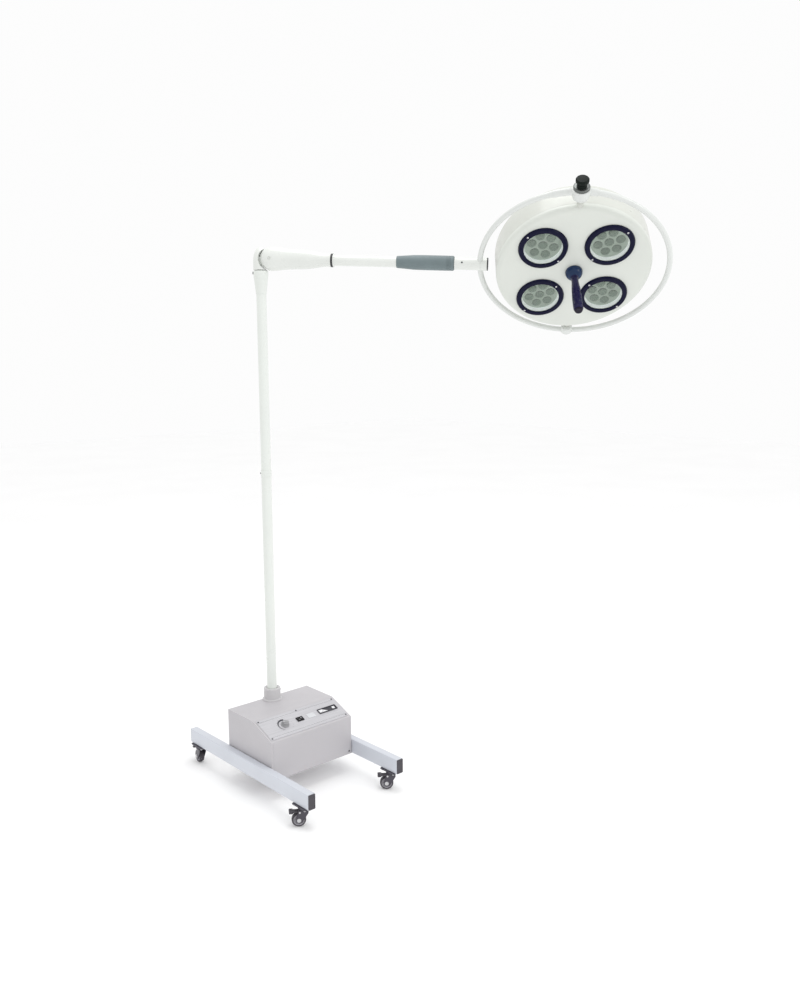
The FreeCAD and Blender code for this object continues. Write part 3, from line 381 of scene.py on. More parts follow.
def lathe(name, profile, around=72, loop=False, ripple=None):
    """A surface turned about +Z from (radius, height) points in millimetres.

    loop joins the last point to the first. ripple(angle, radius, height) may change a radius.
    """
    build = bmesh.new()
    rings = []
    for radius, height in profile:
        if radius < 1e-6:
            rings.append([build.verts.new((0, 0, height * MM))])
            continue
        circle = []
        for step in range(around):
            angle = 2 * math.pi * step / around
            reach = ripple(angle, radius, height) if ripple else radius
            circle.append(build.verts.new((reach * MM * math.cos(angle),
                                           reach * MM * math.sin(angle), height * MM)))
        rings.append(circle)
    pairs = list(zip(rings, rings[1:]))
    if loop:
        pairs.append((rings[-1], rings[0]))
    for low, high in pairs:
        for step in range(around):
            after = (step + 1) % around
            corners = [low[step % len(low)], low[after % len(low)],
                       high[after % len(high)], high[step % len(high)]]
            unique = list(dict.fromkeys(corners))
            if len(unique) >= 3:
                build.faces.new(unique)
    return to_mesh(name, build)


def spun(name, corners, around=72, steps=5, loop=False, ripple=None):
    """A surface turned about +Z from a side view with rounded corners."""
    return lathe(name, rounded(corners, steps), around, loop, ripple)


def bore(radius, half, around=72):
    """A round cutter about Z."""
    return lathe("bore", [(0, -half), (radius, -half), (radius, half), (0, half)], around)


def prism(name, outline, low, high):
    """A flat outline in millimetres extruded along Z, with closed ends."""
    build = bmesh.new()
    bottom = [build.verts.new((x * MM, y * MM, low * MM)) for x, y in outline]
    top = [build.verts.new((x * MM, y * MM, high * MM)) for x, y in outline]
    count = len(outline)
    build.faces.new(bottom)
    build.faces.new(top)
    for step in range(count):
        after = (step + 1) % count
        build.faces.new((bottom[step], bottom[after], top[after], top[step]))
    return to_mesh(name, build)


def framed(name, outer, inner, low, high):
    """A flat ring between two outlines of the same number of points, extruded along Z."""
    build = bmesh.new()
    rings = []
    for outline in (outer, inner):
        for height in (low, high):
            rings.append([build.verts.new((x * MM, y * MM, height * MM)) for x, y in outline])
    outer_low, outer_high, inner_low, inner_high = rings
    count = len(outer)
    for step in range(count):
        after = (step + 1) % count
        for one, two in ((outer_low, outer_high), (outer_high, inner_high),
                         (inner_high, inner_low), (inner_low, outer_low)):
            build.faces.new((one[step], one[after], two[after], two[step]))
    return to_mesh(name, build)


def rectangle(width, height, radius=0.0, x=0.0, y=0.0, steps=5):
    """A rectangle's outline with rounded corners."""
    half_w, half_h = width / 2, height / 2
    corners = [(x - half_w, y - half_h, radius), (x + half_w, y - half_h, radius),
               (x + half_w, y + half_h, radius), (x - half_w, y + half_h, radius)]
    return rounded(corners, steps, closed=True)


def circle(radius, x=0.0, y=0.0, steps=48, start=0.0, sweep=360.0):
    """A circle's outline, or an arc of it."""
    last = steps if sweep >= 360 else steps - 1
    return [Vector((x + radius * math.cos(math.radians(start + sweep * step / last)),
                    y + radius * math.sin(math.radians(start + sweep * step / last))))
            for step in range(steps)]


def joined(name, parts):
    """Several meshes as one. A part is a mesh, (mesh, matrix) or (mesh, matrix, material index).

    Without an index, each face keeps the one it has.
    """
    build = bmesh.new()
    for part in parts:
        mesh, *how = part if isinstance(part, tuple) else (part,)
        start = len(build.faces)
        copy = mesh.copy()
        if how:
            copy.transform(how[0])
        build.from_mesh(copy)
        build.faces.ensure_lookup_table()
        if len(how) > 1:
            for face in build.faces[start:]:
                face.material_index = how[1]
        bpy.data.meshes.remove(copy)
    mesh = bpy.data.meshes.new(name)
    build.to_mesh(mesh)
    build.free()
    return mesh


def tube_along(name, points, radius, around=24, closed=False):
    """A round tube through points (metres), with its ends closed."""
    build = bmesh.new()
    count = len(points)
    rings = []
    up = Vector((0, 0, 1))
    for index, point in enumerate(points):
        before = points[index - 1] if closed or index else point
        after = points[(index + 1) % count] if closed or index < count - 1 else point
        ahead = (after - before).normalized()
        if abs(ahead.dot(up)) > 0.95:
            up = Vector((1, 0, 0))
        side = ahead.cross(up).normalized()
        up = side.cross(ahead).normalized()
        rings.append([build.verts.new(point + radius * MM * (
            math.cos(2 * math.pi * step / around) * side
            + math.sin(2 * math.pi * step / around) * up)) for step in range(around)])
    last = count if closed else count - 1
    for index in range(last):
        low, high = rings[index], rings[(index + 1) % count]
        for step in range(around):
            after = (step + 1) % around
            build.faces.new((low[step], low[after], high[after], high[step]))
    if not closed:
        build.faces.new(rings[0])
        build.faces.new(rings[-1])
    return to_mesh(name, build)


def screw_mesh(radius, height):
    """A pan-head screw with its cross painted dark on the head, as painted shade of a recess."""
    head = lathe("screw", [(0, 0), *rounded([(radius, 0), (radius, height * 0.55, radius * 0.3),
                                             (radius * 0.75, height, radius * 0.5),
                                             (radius * 0.3, height)]), (0, height)], 28)
    # the cross is a flat raised bar in the second material: painted shade standing in for the
    # recess
    bar = prism("slot", rectangle(1.1 * radius, radius * 0.24), height - 0.05, height + 0.04)
    return joined("screw", [head, (bar, WORLD, 1), (bar, turned(WORLD, 90), 1)])


def carved(mesh, cutters):
    """A mesh with others cut out of it. Each cutter is a mesh or (mesh, matrix)."""
    scene = bpy.context.scene.collection.objects
    body = bpy.data.objects.new("carved", mesh)
    scene.link(body)
    tools = []
    for cutter in cutters:
        if isinstance(cutter, tuple):
            cutter, place = cutter
            cutter.transform(place)
        tool = bpy.data.objects.new("cutter", cutter)
        scene.link(tool)
        tools.append(tool)
        cutting = body.modifiers.new("cutting", "BOOLEAN")
        cutting.operation = "DIFFERENCE"
        cutting.solver = "EXACT"
        cutting.object = tool
    bpy.context.view_layer.update()
    ready = body.evaluated_get(bpy.context.evaluated_depsgraph_get())
    result = bpy.data.meshes.new_from_object(ready)
    for thing in [body, *tools]:
        bpy.data.objects.remove(thing)
    return result


def moved(x=0, y=0, z=0, way="+z"):
    """A plain shift and turn inside a piece's own frame."""
    return spot(WORLD, x, y, z, way)


# ------------------------------------------------------------------ rolling base
RAIL_WIDTH, RAIL_HEIGHT, RAIL_WALL = 30, 56, 2
RAIL_FLOOR = 75
RAIL_X = 202
RAIL_BACK, RAIL_FRONT = 258, 516
CAP_FLANGE = 3


def rails():
    """Two rounded rectangular tubes with their end caps."""
    def section(less, corner):
        return rectangle(RAIL_WIDTH - less, RAIL_HEIGHT - less, corner)
    dish = prism("dish", section(9, 2.5), CAP_FLANGE - 0.9, CAP_FLANGE + 5)
    flange = carved(prism("flange", section(2.2, 3), 0, CAP_FLANGE), [dish])
    plug = prism("plug", section(4.2, 1.5), -15, 0.5)
    centre_z = RAIL_FLOOR + RAIL_HEIGHT / 2
    caps = []
    for side, node in ((-1, "rail_left"), (1, "rail_right")):
        place = spot(WORLD, side * RAIL_X, RAIL_BACK, centre_z, "-y")
        mesh = framed(node, section(0, 3.5), section(2 * RAIL_WALL, 1.8), 0, RAIL_BACK + RAIL_FRONT)
        piece(node + "_tube", mesh, place, "rail", "base", node, bevel=0.5)
        for y, way in ((RAIL_BACK, "+y"), (-RAIL_FRONT, "-y")):
            end = spot(WORLD, side * RAIL_X, y, centre_z, way)
            caps += [(flange, end), (plug, end)]
    piece("rail_caps", joined("rail_caps", caps), WORLD, "cap", "base", "rail_end_caps",
          bevel=0.7)


rails()

# ------------------------------------------------------------------ casters
TRAIL = 16
WHEEL_RADIUS, TYRE_INNER, TYRE_HALF = 25, 19, 10
FORK_HALF, FORK_SHEET = 14, 2.5
FORK_TOP = 61
AXLE_Z = 25
PEDAL_X, PEDAL_Z = -13, 53.4


def hexagon(radius):
    """A hexagon's outline."""
    return circle(radius, steps=7)[:6]


def fork_mesh():
    """Two bent cheeks under a crown, with the axle's nuts and the pedal's pin."""
    cheek = rounded([(17, FORK_TOP, 2), (17, 51, 7), (-5.5, 15.6, 9.5), (-26, 15.6, 9.5),
                     (-25.6, 37, 9), (-18, 56, 5), (-18, FORK_TOP, 2)], closed=True)
    upright = moved(way="-y")
    parts = []
    for low in (-FORK_HALF, FORK_HALF - FORK_SHEET):
        parts.append((prism("cheek", cheek, low, low + FORK_SHEET), upright))
    crown = prism("crown", rectangle(35, 2 * FORK_HALF, 4, x=-0.5), FORK_TOP - 3, FORK_TOP)
    race = spun("race", [(0, FORK_TOP - 5), (11, FORK_TOP - 5, 2), (13, FORK_TOP - 3),
                         (13, FORK_TOP - 2)], 32)
    parts += [crown, race]
    washer = spun("washer", [(0, 0), (7.4, 0), (7.4, 0.7, 0.3), (0, 0.7)], 28)
    nut = prism("nut", hexagon(6.2), 0.6, 2.1)
    shank = spun("shank", [(0, 0), (3.8, 0), (3.8, 2.6, 0.8), (0, 2.6)], 20)
    rivet = spun("rivet", [(0, -3), (2, -3), (2, 0), (3.6, 0), (3.2, 1, 0.6), (0, 1.2)], 20)
    outside = FORK_HALF - 0.1
    for y, way in ((-outside, "-y"), (outside, "+y")):
        axle_end, pin_end = moved(-TRAIL, y, AXLE_Z, way), moved(PEDAL_X, y, PEDAL_Z, way)
        parts += [(washer, axle_end, 1), (nut, axle_end, 1), (shank, axle_end, 1),
                  (rivet, pin_end, 1)]
    return joined("fork", parts)


def mirrored(half, middle=()):
    """A wheel's side view: one half, what lies on its mid-plane, and the half's mirror image."""
    other = [(radius, -height, *corner) for radius, height, *corner in reversed(half)]
    return [*half, *middle, *other]


def tyre_mesh():
    """A rubber tyre with a raised band on each side wall."""
    half = [(TYRE_INNER, -9.3), (20.5, -9.3, 0.2), (20.8, -TYRE_HALF, 0.3), (22.8, -TYRE_HALF, 2.6),
            (WHEEL_RADIUS - 0.2, -6.6, 3)]
    return spun("tyre", mirrored(half, [(WHEEL_RADIUS, 0, 30)]), 72, 4, loop=True)


def hub_mesh():
    """A dished hub with six ribs on each face."""
    half = [(4.05, -9), (7.2, -9, 0.8), (7.8, -5.4, 1), (15.6, -4.8, 1.5), (16.4, -9.2, 0.8),
            (TYRE_INNER, -9.2, 0.3)]
    parts = [spun("hub", mirrored(half), 60, 4, loop=True)]
    for step in range(6):
        for side in (-1, 1):
            rib = prism("rib", rectangle(9.6, 1.7, 0.6, x=11.8), side * 4.4, side * 8.3)
            parts.append((rib, turned(WORLD, 60 * step)))
    return joined("hub", parts)


def pedal_mesh():
    """A brake pedal: a curved arm on its pin and a ribbed foot pad."""
    arm = rounded([(-9.6, 50.2, 3.3), (-9.6, 56.7, 3.3), (-30, 56.3, 6), (-37, 56.9, 3),
                   (-46, 56.6), (-46, 52.6), (-37, 52.3, 3), (-33, 53.1, 5), (-18, 52.8, 3),
                   (-15.6, 50.2, 2.6)], closed=True)
    parts = [(prism("arm", arm, -11, 11), moved(way="-y")),
             prism("pad", rectangle(14, 34, 4.5, x=-43), 51.9, 56.4)]
    for x in (-47.5, -44.5, -41.5, -38.5):
        parts.append(prism("rib", rectangle(1.3, 26, 0.6, x=x), 56, 57))
    return joined("pedal", parts)


def bracket_mesh():
    """The fixed plate under a rail: its bolts, the pressed race cup and the kingpin."""
    parts = [prism("plate", rectangle(44, 76, 5), RAIL_FLOOR - 4, RAIL_FLOOR)]
    bolt = prism("bolt", hexagon(5), RAIL_FLOOR - 7.5, RAIL_FLOOR - 4)
    parts += [(bolt, moved(x, y), 1) for x in (-15, 15) for y in (-30, 30)]
    cup = spun("cup", [(0, 61.4), (15, 61.4, 1), (18.8, 62.4, 1.5), (18.8, 66, 1.5),
                       (16.2, 67.6, 1), (16.2, 69, 1), (20, 71.2), (0, 71.2)], 48, 4)
    rivet = spun("rivet", [(0, 54.3), (5.6, 54.3, 1.5), (6.8, 57, 1), (4, 57.2), (4, 62),
                           (0, 62)], 32, 4)
    return joined("bracket", parts + [cup, (rivet, WORLD, 1)])


def casters():
    """Four casters, each placed by its own joints, and the plates that carry them."""
    bracket = bracket_mesh()
    brackets = []
    for corner in ("front_left", "front_right", "back_left", "back_right"):
        pivot, axle = joint_place(corner + "_swivel"), joint_place(corner + "_roll")
        ahead = Vector((pivot.x - axle.x, pivot.y - axle.y, 0))
        foot = axes_frame((pivot.x, pivot.y, 0), ahead, (0, 0, 1))
        wheel = spot(foot, -TRAIL, 0, AXLE_Z, "-y")
        piece(corner + "_fork_sheet", fork_mesh(), foot, ("caster", "steel"), corner + "_caster",
              corner + "_fork", bevel=0.5, segments=2)
        piece(corner + "_tread", tyre_mesh(), wheel, "tyre", corner + "_wheel", corner + "_tyre")
        piece(corner + "_wheel_hub", hub_mesh(), wheel, "hub", corner + "_wheel", corner + "_hub",
              bevel=0.25, segments=2)
        piece(corner + "_pedal_arm", pedal_mesh(), foot, "cap", corner + "_pedal",
              corner + "_brake_pedal", bevel=0.7, segments=2)
        brackets.append((bracket, spot(WORLD, pivot.x / MM, pivot.y / MM)))
    piece("caster_brackets", joined("caster_brackets", brackets), WORLD, ("caster", "screw"),
          "base", "caster_plates", bevel=0.5, segments=2)


casters()

# ------------------------------------------------------------------ control box
BOX_HALF = 185
BOX_BACK, BOX_FRONT, BOX_TOP = 26, 258, 272
FOLD_BACK, FRONT_TOP = 140, 225
BOX_FOOT = 78
SHEET = 2
SIDEWAYS = axes_frame((0, 0, 0), (0, 1, 0), (1, 0, 0))
INLET_X, INLET_Z = -110, 120
PLATE = 2


def cover():
    """The folded sheet-metal cover, open below, with its cut-outs and edge seams."""
    def side_view(inset):
        foot = BOX_FOOT - (10 if inset else 0)
        return rounded([(BOX_BACK - inset, foot), (BOX_BACK - inset, BOX_TOP - inset, 3 - inset),
                        (-FOLD_BACK, BOX_TOP - inset, 26),
                        (-BOX_FRONT + inset, FRONT_TOP - inset, 4 - inset),
                        (-BOX_FRONT + inset, foot)], 8, closed=True)
    outer = prism("cover", side_view(0), -BOX_HALF, BOX_HALF)
    inner = prism("inside", side_view(SHEET), -BOX_HALF + SHEET, BOX_HALF - SHEET)
    to_local = SIDEWAYS.inverted()
    socket = prism("socket", rectangle(44.4, 23.4, 2), -10, 10)
    seam = prism("seam", rectangle(0.8, 200), -0.5, 0.5)
    cutters = [inner, (socket, to_local @ spot(WORLD, INLET_X, BOX_BACK, INLET_Z, "-y")),
               (bore(20, 10), to_local @ spot(WORLD, 0, 0, BOX_TOP))]
    for x in (-BOX_HALF + 9, BOX_HALF - 9):
        cutters.append((seam.copy(), to_local @ spot(WORLD, x, -BOX_FRONT, 120, "-y")))
    piece("box_shell", carved(outer, cutters), SIDEWAYS, "cover", "base", "box_cover",
          bevel=1.0, segments=3)


cover()

# controls on the slope: places are along and up the panel from its centre
PANEL_LENGTH = math.hypot(BOX_FRONT - FOLD_BACK, BOX_TOP - FRONT_TOP)
DIMMER = (-0.225 * 2 * BOX_HALF, -0.01 * PANEL_LENGTH)
ROCKER = (-0.036 * 2 * BOX_HALF, 0.01 * PANEL_LENGTH)
WINDOW = (0.105 * 2 * BOX_HALF, 0.01 * PANEL_LENGTH)
METER = (0.32 * 2 * BOX_HALF, 0.04 * PANEL_LENGTH)
PLATE_WIDTH, PLATE_DEPTH = 354, 110


def crescent(radius, widest, start, sweep, steps=40):
    """A printed scale: an arc that grows wider along its length."""
    outer = circle(radius, steps=steps, start=start, sweep=sweep)
    inner = []
    for step in range(steps):
        share = step / (steps - 1)
        angle = math.radians(start + sweep * share)
        reach = radius - 0.6 - widest * share
        inner.append(Vector((reach * math.cos(angle), reach * math.sin(angle))))
    return outer + inner[::-1]


def control_panel():
    """The faceplate with its printed scale, the switch's bezel, the window and the meter."""
    plate = prism("plate", rectangle(PLATE_WIDTH, PLATE_DEPTH, 3), 0.2, PLATE)
    opening = prism("opening", rectangle(27, 18), -5, 5)
    plate = carved(plate, [(opening, moved(*ROCKER)), (bore(4, 5, 32), moved(*DIMMER))])
    piece("faceplate", plate, PANEL, "plate", "base", "control_panel", bevel=0.5)
    line = prism("line", rectangle(PLATE_WIDTH - 16, 0.5), PLATE, PLATE + 0.12)
    line_y = PLATE_DEPTH / 2 - 12
    tick = prism("tick", rectangle(3, 0.6), PLATE, PLATE + 0.15)
    marks = [(prism("scale", crescent(29, 8.5, 240, -170), PLATE, PLATE + 0.15), moved(*DIMMER)),
             (line, moved(0, line_y)), (line, moved(0, -line_y))]
    marks += [(tick, turned(moved(*DIMMER), 225 - 27 * step) @ moved(32)) for step in range(11)]
    piece("panel_marks", joined("panel_marks", marks), PANEL, "ink", "base")

    outer, inner = rectangle(30, 21, 2), rectangle(25, 16, 1)
    bezel = framed("bezel", outer, inner, PLATE, PLATE + 2.5)
    well = framed("well", rectangle(27, 18, 1), rectangle(25, 16, 1), -14, PLATE + 1)
    floor = prism("floor", rectangle(25, 16), -14, -6)
    parts = [(mesh, moved(*ROCKER)) for mesh in (bezel, well, floor)]
    piece("switch_bezel", joined("switch_bezel", parts), PANEL, "black", "base", "rocker_frame",
          bevel=0.6)

    window = prism("window", rectangle(34, 22, 2.5), PLATE, PLATE + 1.2)
    piece("indicator_window", window, PANEL @ moved(*WINDOW), "window", "base", bevel=0.5)

    outer, inner = rectangle(86, 24, 2), rectangle(79, 17, 1)
    rim = framed("rim", outer, inner, PLATE, PLATE + 3)
    back = prism("back", rectangle(80, 18), PLATE, PLATE + 1)
    wedge = prism("wedge", [Vector(p) for p in ((-21, 8), (20, 8), (20, -8), (2, -8))],
                  PLATE + 1, PLATE + 1.5)
    dial = prism("dial", [Vector(p) for p in ((-38, -7.5), (0, -7.5), (-23, 7.5), (-38, 7.5))],
                 PLATE + 1, PLATE + 1.4)
    square = prism("square", rectangle(12, 11, 1, x=29), PLATE + 1, PLATE + 1.4)
    needle = prism("needle", rectangle(20, 0.6), PLATE + 1.4, PLATE + 1.8)
    tick = prism("tick", rectangle(0.5, 2.4), PLATE + 1.4, PLATE + 1.55)
    parts = [rim, back, wedge, (dial, WORLD, 1), (square, WORLD, 1),
             (needle, turned(moved(-22, -1), 28))]
    parts += [(tick, moved(-35 + 4.5 * step, -5.5)) for step in range(6)]
    piece("meter", joined("meter", parts), PANEL @ moved(*METER), ("ink", "dial"), "base",
          "battery_meter", bevel=0.4, segments=2)


def rocker():
    """The rocking key: two faces that meet in a shallow valley."""
    side = rounded([(-5.6, 0), (-5.6, 5.0, 1), (0, 3.4, 6), (5.6, 3.4, 1), (5.6, 0)], closed=True)
    lift = PLATE + 2.5 - 3
    body = prism("key", side, -12, 12)
    tilt = turned(PANEL @ moved(*ROCKER, lift), 7, "X")
    across = tilt @ SIDEWAYS
    mark = prism("mark", rectangle(0.7, 4), -0.1, 0.15)
    dot = framed("dot", circle(2.2, steps=25)[:24], circle(1.6, steps=25)[:24], -0.1, 0.15)
    parts = [body, (mark, moved(-4.2, 4.85, -5, "+y"), 1), (dot, moved(3.2, 3.4, 5, "+y"), 1)]
    piece("rocker_key", joined("rocker_key", parts), across, ("black", "dial"), "rocker",
          "mains_rocker", bevel=0.5)


def dimmer():
    """A fluted skirt under a finger bar with a pointer line."""
    def flutes(angle, radius, _height):
        return radius - (0.5 if 9 < radius < 14 else 0) * (math.cos(24 * angle) > 0)
    skirt = spun("skirt", [(0, 0), (16, 0), (16, 0.8), (16, 2.4), (14.8, 3.2, 1), (13, 3.4),
                           (11.8, 12, 1.5), (10.4, 13, 1), (0, 13)], 144, 4, ripple=flutes)
    bar = prism("bar", rectangle(24, 8, 3), 2, 14.6)
    pointer = prism("pointer", rectangle(8, 1, x=7), 14.5, 14.8)
    shaft = lathe("shaft", [(0, -12), (3, -12), (3, 1), (0, 1)], 24)
    place = turned(PANEL @ moved(*DIMMER, PLATE + 0.5), 160)
    parts = [skirt, bar, (pointer, WORLD, 1), shaft]
    piece("dimmer_cap", joined("dimmer_cap", parts), place, ("dimmer", "dial"), "dimmer",
          "dimmer_knob", bevel=0.6, segments=2)


def mains_inlet():
    """An appliance inlet: a rim, a six-sided well and its three blades."""
    place = spot(WORLD, INLET_X, BOX_BACK, INLET_Z, "+y")
    well = rounded([(-12.5, -8.5, 1), (12.5, -8.5, 1), (12.5, 4), (8, 8.5), (-8, 8.5), (-12.5, 4)],
                   closed=True)
    body = prism("body", rectangle(43.6, 22.6, 1.5), -26, 1)
    rim = prism("rim", rectangle(48, 27, 3), 0, 2)
    hole = prism("well", well, -18, 6)
    screw = screw_mesh(2.2, 1.2)
    parts = [carved(body, [hole]), carved(rim, [hole])]
    parts += [(prism("blade", rectangle(2, 4.4, 0.8, x, y), -18, -3), WORLD, 1)
              for x, y in ((-7, 2), (0, -2), (7, 2))]
    parts += [(screw, moved(x, 0, 2), 1) for x in (-19.5, 19.5)]
    piece("inlet_socket", joined("inlet_socket", parts), place, ("black", "brass"), "base",
          "mains_inlet", bevel=0.4, segments=2)


control_panel()
rocker()
dimmer()
mains_inlet()

# ------------------------------------------------------------------ column
COLUMN_RADIUS, UPPER_RADIUS, TUBE_WALL = 19, 18.5, 2
BEAM_TOP = 103
JOINT_Z = 1161
SLEEVE_BOTTOM, PARTING = 1820, 1905
IMAGE_LEFT, IMAGE_RIGHT = 137.6, -42.4


def column():
    """The collar, the two tubes with their joint ring, and the tapered bearing sleeve."""
    collar = rounded([(19.1, BOX_TOP), (38, BOX_TOP), (38, BOX_TOP + 3.6, 1.5),
                      (32.4, BOX_TOP + 5, 1), (32, BOX_TOP + 44, 1), (31, BOX_TOP + 48, 2.5),
                      (24, BOX_TOP + 48, 1.5), (20, BOX_TOP + 45.5, 1), (19.1, BOX_TOP + 45.5)], 4)
    lower = [(COLUMN_RADIUS, BEAM_TOP), (COLUMN_RADIUS, JOINT_Z - 0.6),
             (COLUMN_RADIUS - TUBE_WALL, JOINT_Z - 0.2), (COLUMN_RADIUS - TUBE_WALL, BEAM_TOP)]
    ring = rounded([(19.05, JOINT_Z - 11), (20.1, JOINT_Z - 11, 0.4), (20.5, JOINT_Z - 10, 0.6),
                    (20.5, JOINT_Z - 1), (19.9, JOINT_Z - 0.4), (19.9, JOINT_Z + 0.4),
                    (20.5, JOINT_Z + 1), (20.5, JOINT_Z + 10, 0.6), (20.1, JOINT_Z + 11, 0.4),
                    (18.55, JOINT_Z + 11)], 3)
    upper = [(UPPER_RADIUS, JOINT_Z), (UPPER_RADIUS, SLEEVE_BOTTOM + 29),
             (UPPER_RADIUS - TUBE_WALL, SLEEVE_BOTTOM + 29), (UPPER_RADIUS - TUBE_WALL, JOINT_Z)]
    top = PARTING - 2
    sleeve = rounded([(18.6, SLEEVE_BOTTOM), (19.5, SLEEVE_BOTTOM + 0.2, 0.4),
                      (23.4, SLEEVE_BOTTOM + 34, 60), (27, top - 16, 30), (27, top - 3, 1),
                      (24, top, 1), (14.1, top), (14.1, SLEEVE_BOTTOM + 31),
                      (18.6, SLEEVE_BOTTOM + 31)], 6)
    for name, profile, paint, node in (
            ("collar", collar, "collar", "column_collar"),
            ("column_lower_tube", lower, "column", "lower_column"),
            ("column_ring", ring, "column", "joint_ring"),
            ("column_upper_tube", upper, "column", "upper_column"),
            ("bearing_sleeve", sleeve, "column", "taper_sleeve")):
        piece(name, lathe(name, profile, 96, loop=True), WORLD, paint, "base", node)


def set_screw(head, proud):
    """A socket screw's end, standing a little proud."""
    return spun("stud", [(0, 0), (head, 0), (head, proud, 0.8), (head * 0.5, proud),
                         (head * 0.5, proud - 1), (0, proud - 1)], 28, 4)


def base_screws():
    """The faceplate's, cover's and column's screws."""
    corner_x, corner_y = PLATE_WIDTH / 2 - 7, PLATE_DEPTH / 2 - 7
    places = [spot(PANEL, x, y, PLATE) for x, y in (
        (-corner_x, corner_y), (0, corner_y), (corner_x, corner_y),
        (-corner_x, -corner_y), (corner_x, -corner_y))]
    for side, way in ((-1, "-x"), (1, "+x")):
        places.append(spot(WORLD, side * 173, -BOX_FRONT, 87, "-y"))
        places += [spot(WORLD, side * BOX_HALF, y, 92, way) for y in (0, -110, -235)]
    screw = screw_mesh(3.1, 1.6)
    # the second material paints the crosses black, painted shade of their recesses
    piece("box_screws", joined("box_screws", [(screw, place) for place in places]), WORLD,
          ("dark_screw", "black"), "base", "base_screws")
    side = turned(WORLD, IMAGE_LEFT)
    dark = [(set_screw(2.8, 2), spot(side, 20.3, 0, JOINT_Z, "+x")),
            (set_screw(5, 3), spot(side, 26.6, 0, PARTING - 10, "+x"))]
    piece("set_screws", joined("set_screws", dark), WORLD, "dark_screw", "base")
    lug = spun("lug", [(0, -9), (5.5, -9), (5.5, 5.5, 2), (0, 6.5)], 36)
    hex_screw = spun("screw", [(0, 0), (3.4, 0), (3.4, 3.2, 0.8), (1.8, 3.4), (1.8, 1.6),
                               (0, 1.6)], 6, 4)
    place = turned(WORLD, IMAGE_RIGHT)
    parts = [(lug, spot(place, 25.5, 0, BOX_TOP + 44)),
             (hex_screw, spot(place, 30.4, 0, BOX_TOP + 40, "+x"))]
    piece("clamp_lug", joined("clamp_lug", parts), WORLD, "collar", "base")


column()
base_screws()

# ------------------------------------------------------------------ elbow and arm
HOUSING_END = 262
ARM_TUBE_RADIUS, ARM_TUBE_BORE = 19, 16.5
GRIP_START, GRIP_END = 500, 705
ALONG_ARM = spot(ARM, way="+x")


def arm():
    """The dark ring and the tube. The housing and knuckle are the CAD's own."""
    start = HOUSING_END + 0.3
    dark = [(19.05, start), (23.6, start), (23.8, start + 1, 0.6), (23.8, start + 7, 0.6),
            (22.8, start + 7.2), (19.05, start + 7.2)]
    pale = [(19.05, start + 7.4), (22.4, start + 7.4), (22.4, start + 11.4, 1.2),
            (19.05, start + 11.6)]
    parts = [spun("ring", dark, 72, 4, loop=True), (spun("ring", pale, 72, 4, loop=True), WORLD, 1)]
    piece("arm_end_ring", joined("arm_end_ring", parts), ALONG_ARM, ("ring", "arm"), "arm",
          "arm_ring")
    tube = [(ARM_TUBE_RADIUS, HOUSING_END - 30), (ARM_TUBE_RADIUS, GRIP_END - 3),
            (ARM_TUBE_BORE, GRIP_END - 3), (ARM_TUBE_BORE, HOUSING_END - 30)]
    piece("arm_tube_skin", lathe("arm_tube", tube, 96, loop=True), ALONG_ARM, "arm", "arm",
          "arm_tube")


def grip():
    """The rubber sleeve: flared over its first third, with fine rings near its far end."""
    outline = [(19.05, GRIP_START + 0.5), (20.2, GRIP_START), (21, GRIP_START + 2.5, 1.2),
               (22.2, GRIP_START + 20, 20), (25.4, GRIP_START + 62, 40), (26, GRIP_START + 95, 30)]
    ring = GRIP_END - 26
    for step in range(5):
        low = ring + 3.2 * step
        outline += [(26, low), (25.4, low + 0.4), (25.4, low + 1.2), (26, low + 1.6)]
    outline += [(26, GRIP_END - 5, 4), (24, GRIP_END, 3), (19.05, GRIP_END - 0.2)]
    piece("grip", spun("grip", outline, 96, loop=True), ALONG_ARM, "grip", "arm",
          "grip_sleeve")


arm()
grip()

# ------------------------------------------------------------------ ring yoke
HOOP_RADIUS, HOOP_TUBE = 324, 9.5
HOOP_REACH = 1119.5
END_TUBE_RADIUS = 22
ALONG_YOKE = spot(YOKE, way="+x")
END_START = GRIP_END + 1 - HOOP_REACH
PLUG_START = 3 - HOOP_RADIUS


def arc_points(radius, start, sweep, steps):
    """Points of an arc in the ring's plane; 90 degrees is the top of the ring."""
    points = []
    for step in range(steps):
        angle = math.radians(start + sweep * step / max(1, steps - 1))
        points.append(Vector((radius * math.cos(angle), 0, radius * math.sin(angle))) * MM)
    return points


def ring_yoke():
    """The round hoop, the end tube with its set screw, and the two-tone end plug."""
    hoop = tube_along("hoop", arc_points(HOOP_RADIUS, 0, 360 - 360 / 240, 240), HOOP_TUBE, 28, True)
    piece("hoop_tube", hoop, YOKE, "hoop", "yoke", "hoop")
    tube = rounded([(16.45, END_START - 60), (16.45, END_START), (21.2, END_START),
                    (END_TUBE_RADIUS, END_START + 1, 0.8), (END_TUBE_RADIUS, PLUG_START - 0.3),
                    (14, PLUG_START - 0.3), (14, END_START - 60)], 4)
    piece("end_tube_skin", lathe("end_tube", tube, 96, loop=True), ALONG_YOKE, "arm", "yoke",
          "end_tube")
    seam, end = PLUG_START + 22.4, PLUG_START + 26
    collar = rounded([(0, PLUG_START), (23, PLUG_START), (23, seam, 0.8), (0, seam)], 4)
    cap = rounded([(0, seam + 0.3), (22.4, seam + 0.3, 0.5), (22.4, end - 0.6, 1.2), (19, end, 0.8),
                   (0, end)], 4)
    parts = [lathe("collar", collar, 96), (lathe("cap", cap, 96), WORLD, 1)]
    piece("plug", joined("plug", parts), ALONG_YOKE, ("arm", "ring"), "yoke", "end_plug")
    side = turned(spot(YOKE, -386), -55, "X")
    piece("end_tube_screw", set_screw(3, 2), spot(side, 0, -END_TUBE_RADIUS + 0.6, 0, "-y"),
          "dark_screw", "yoke")


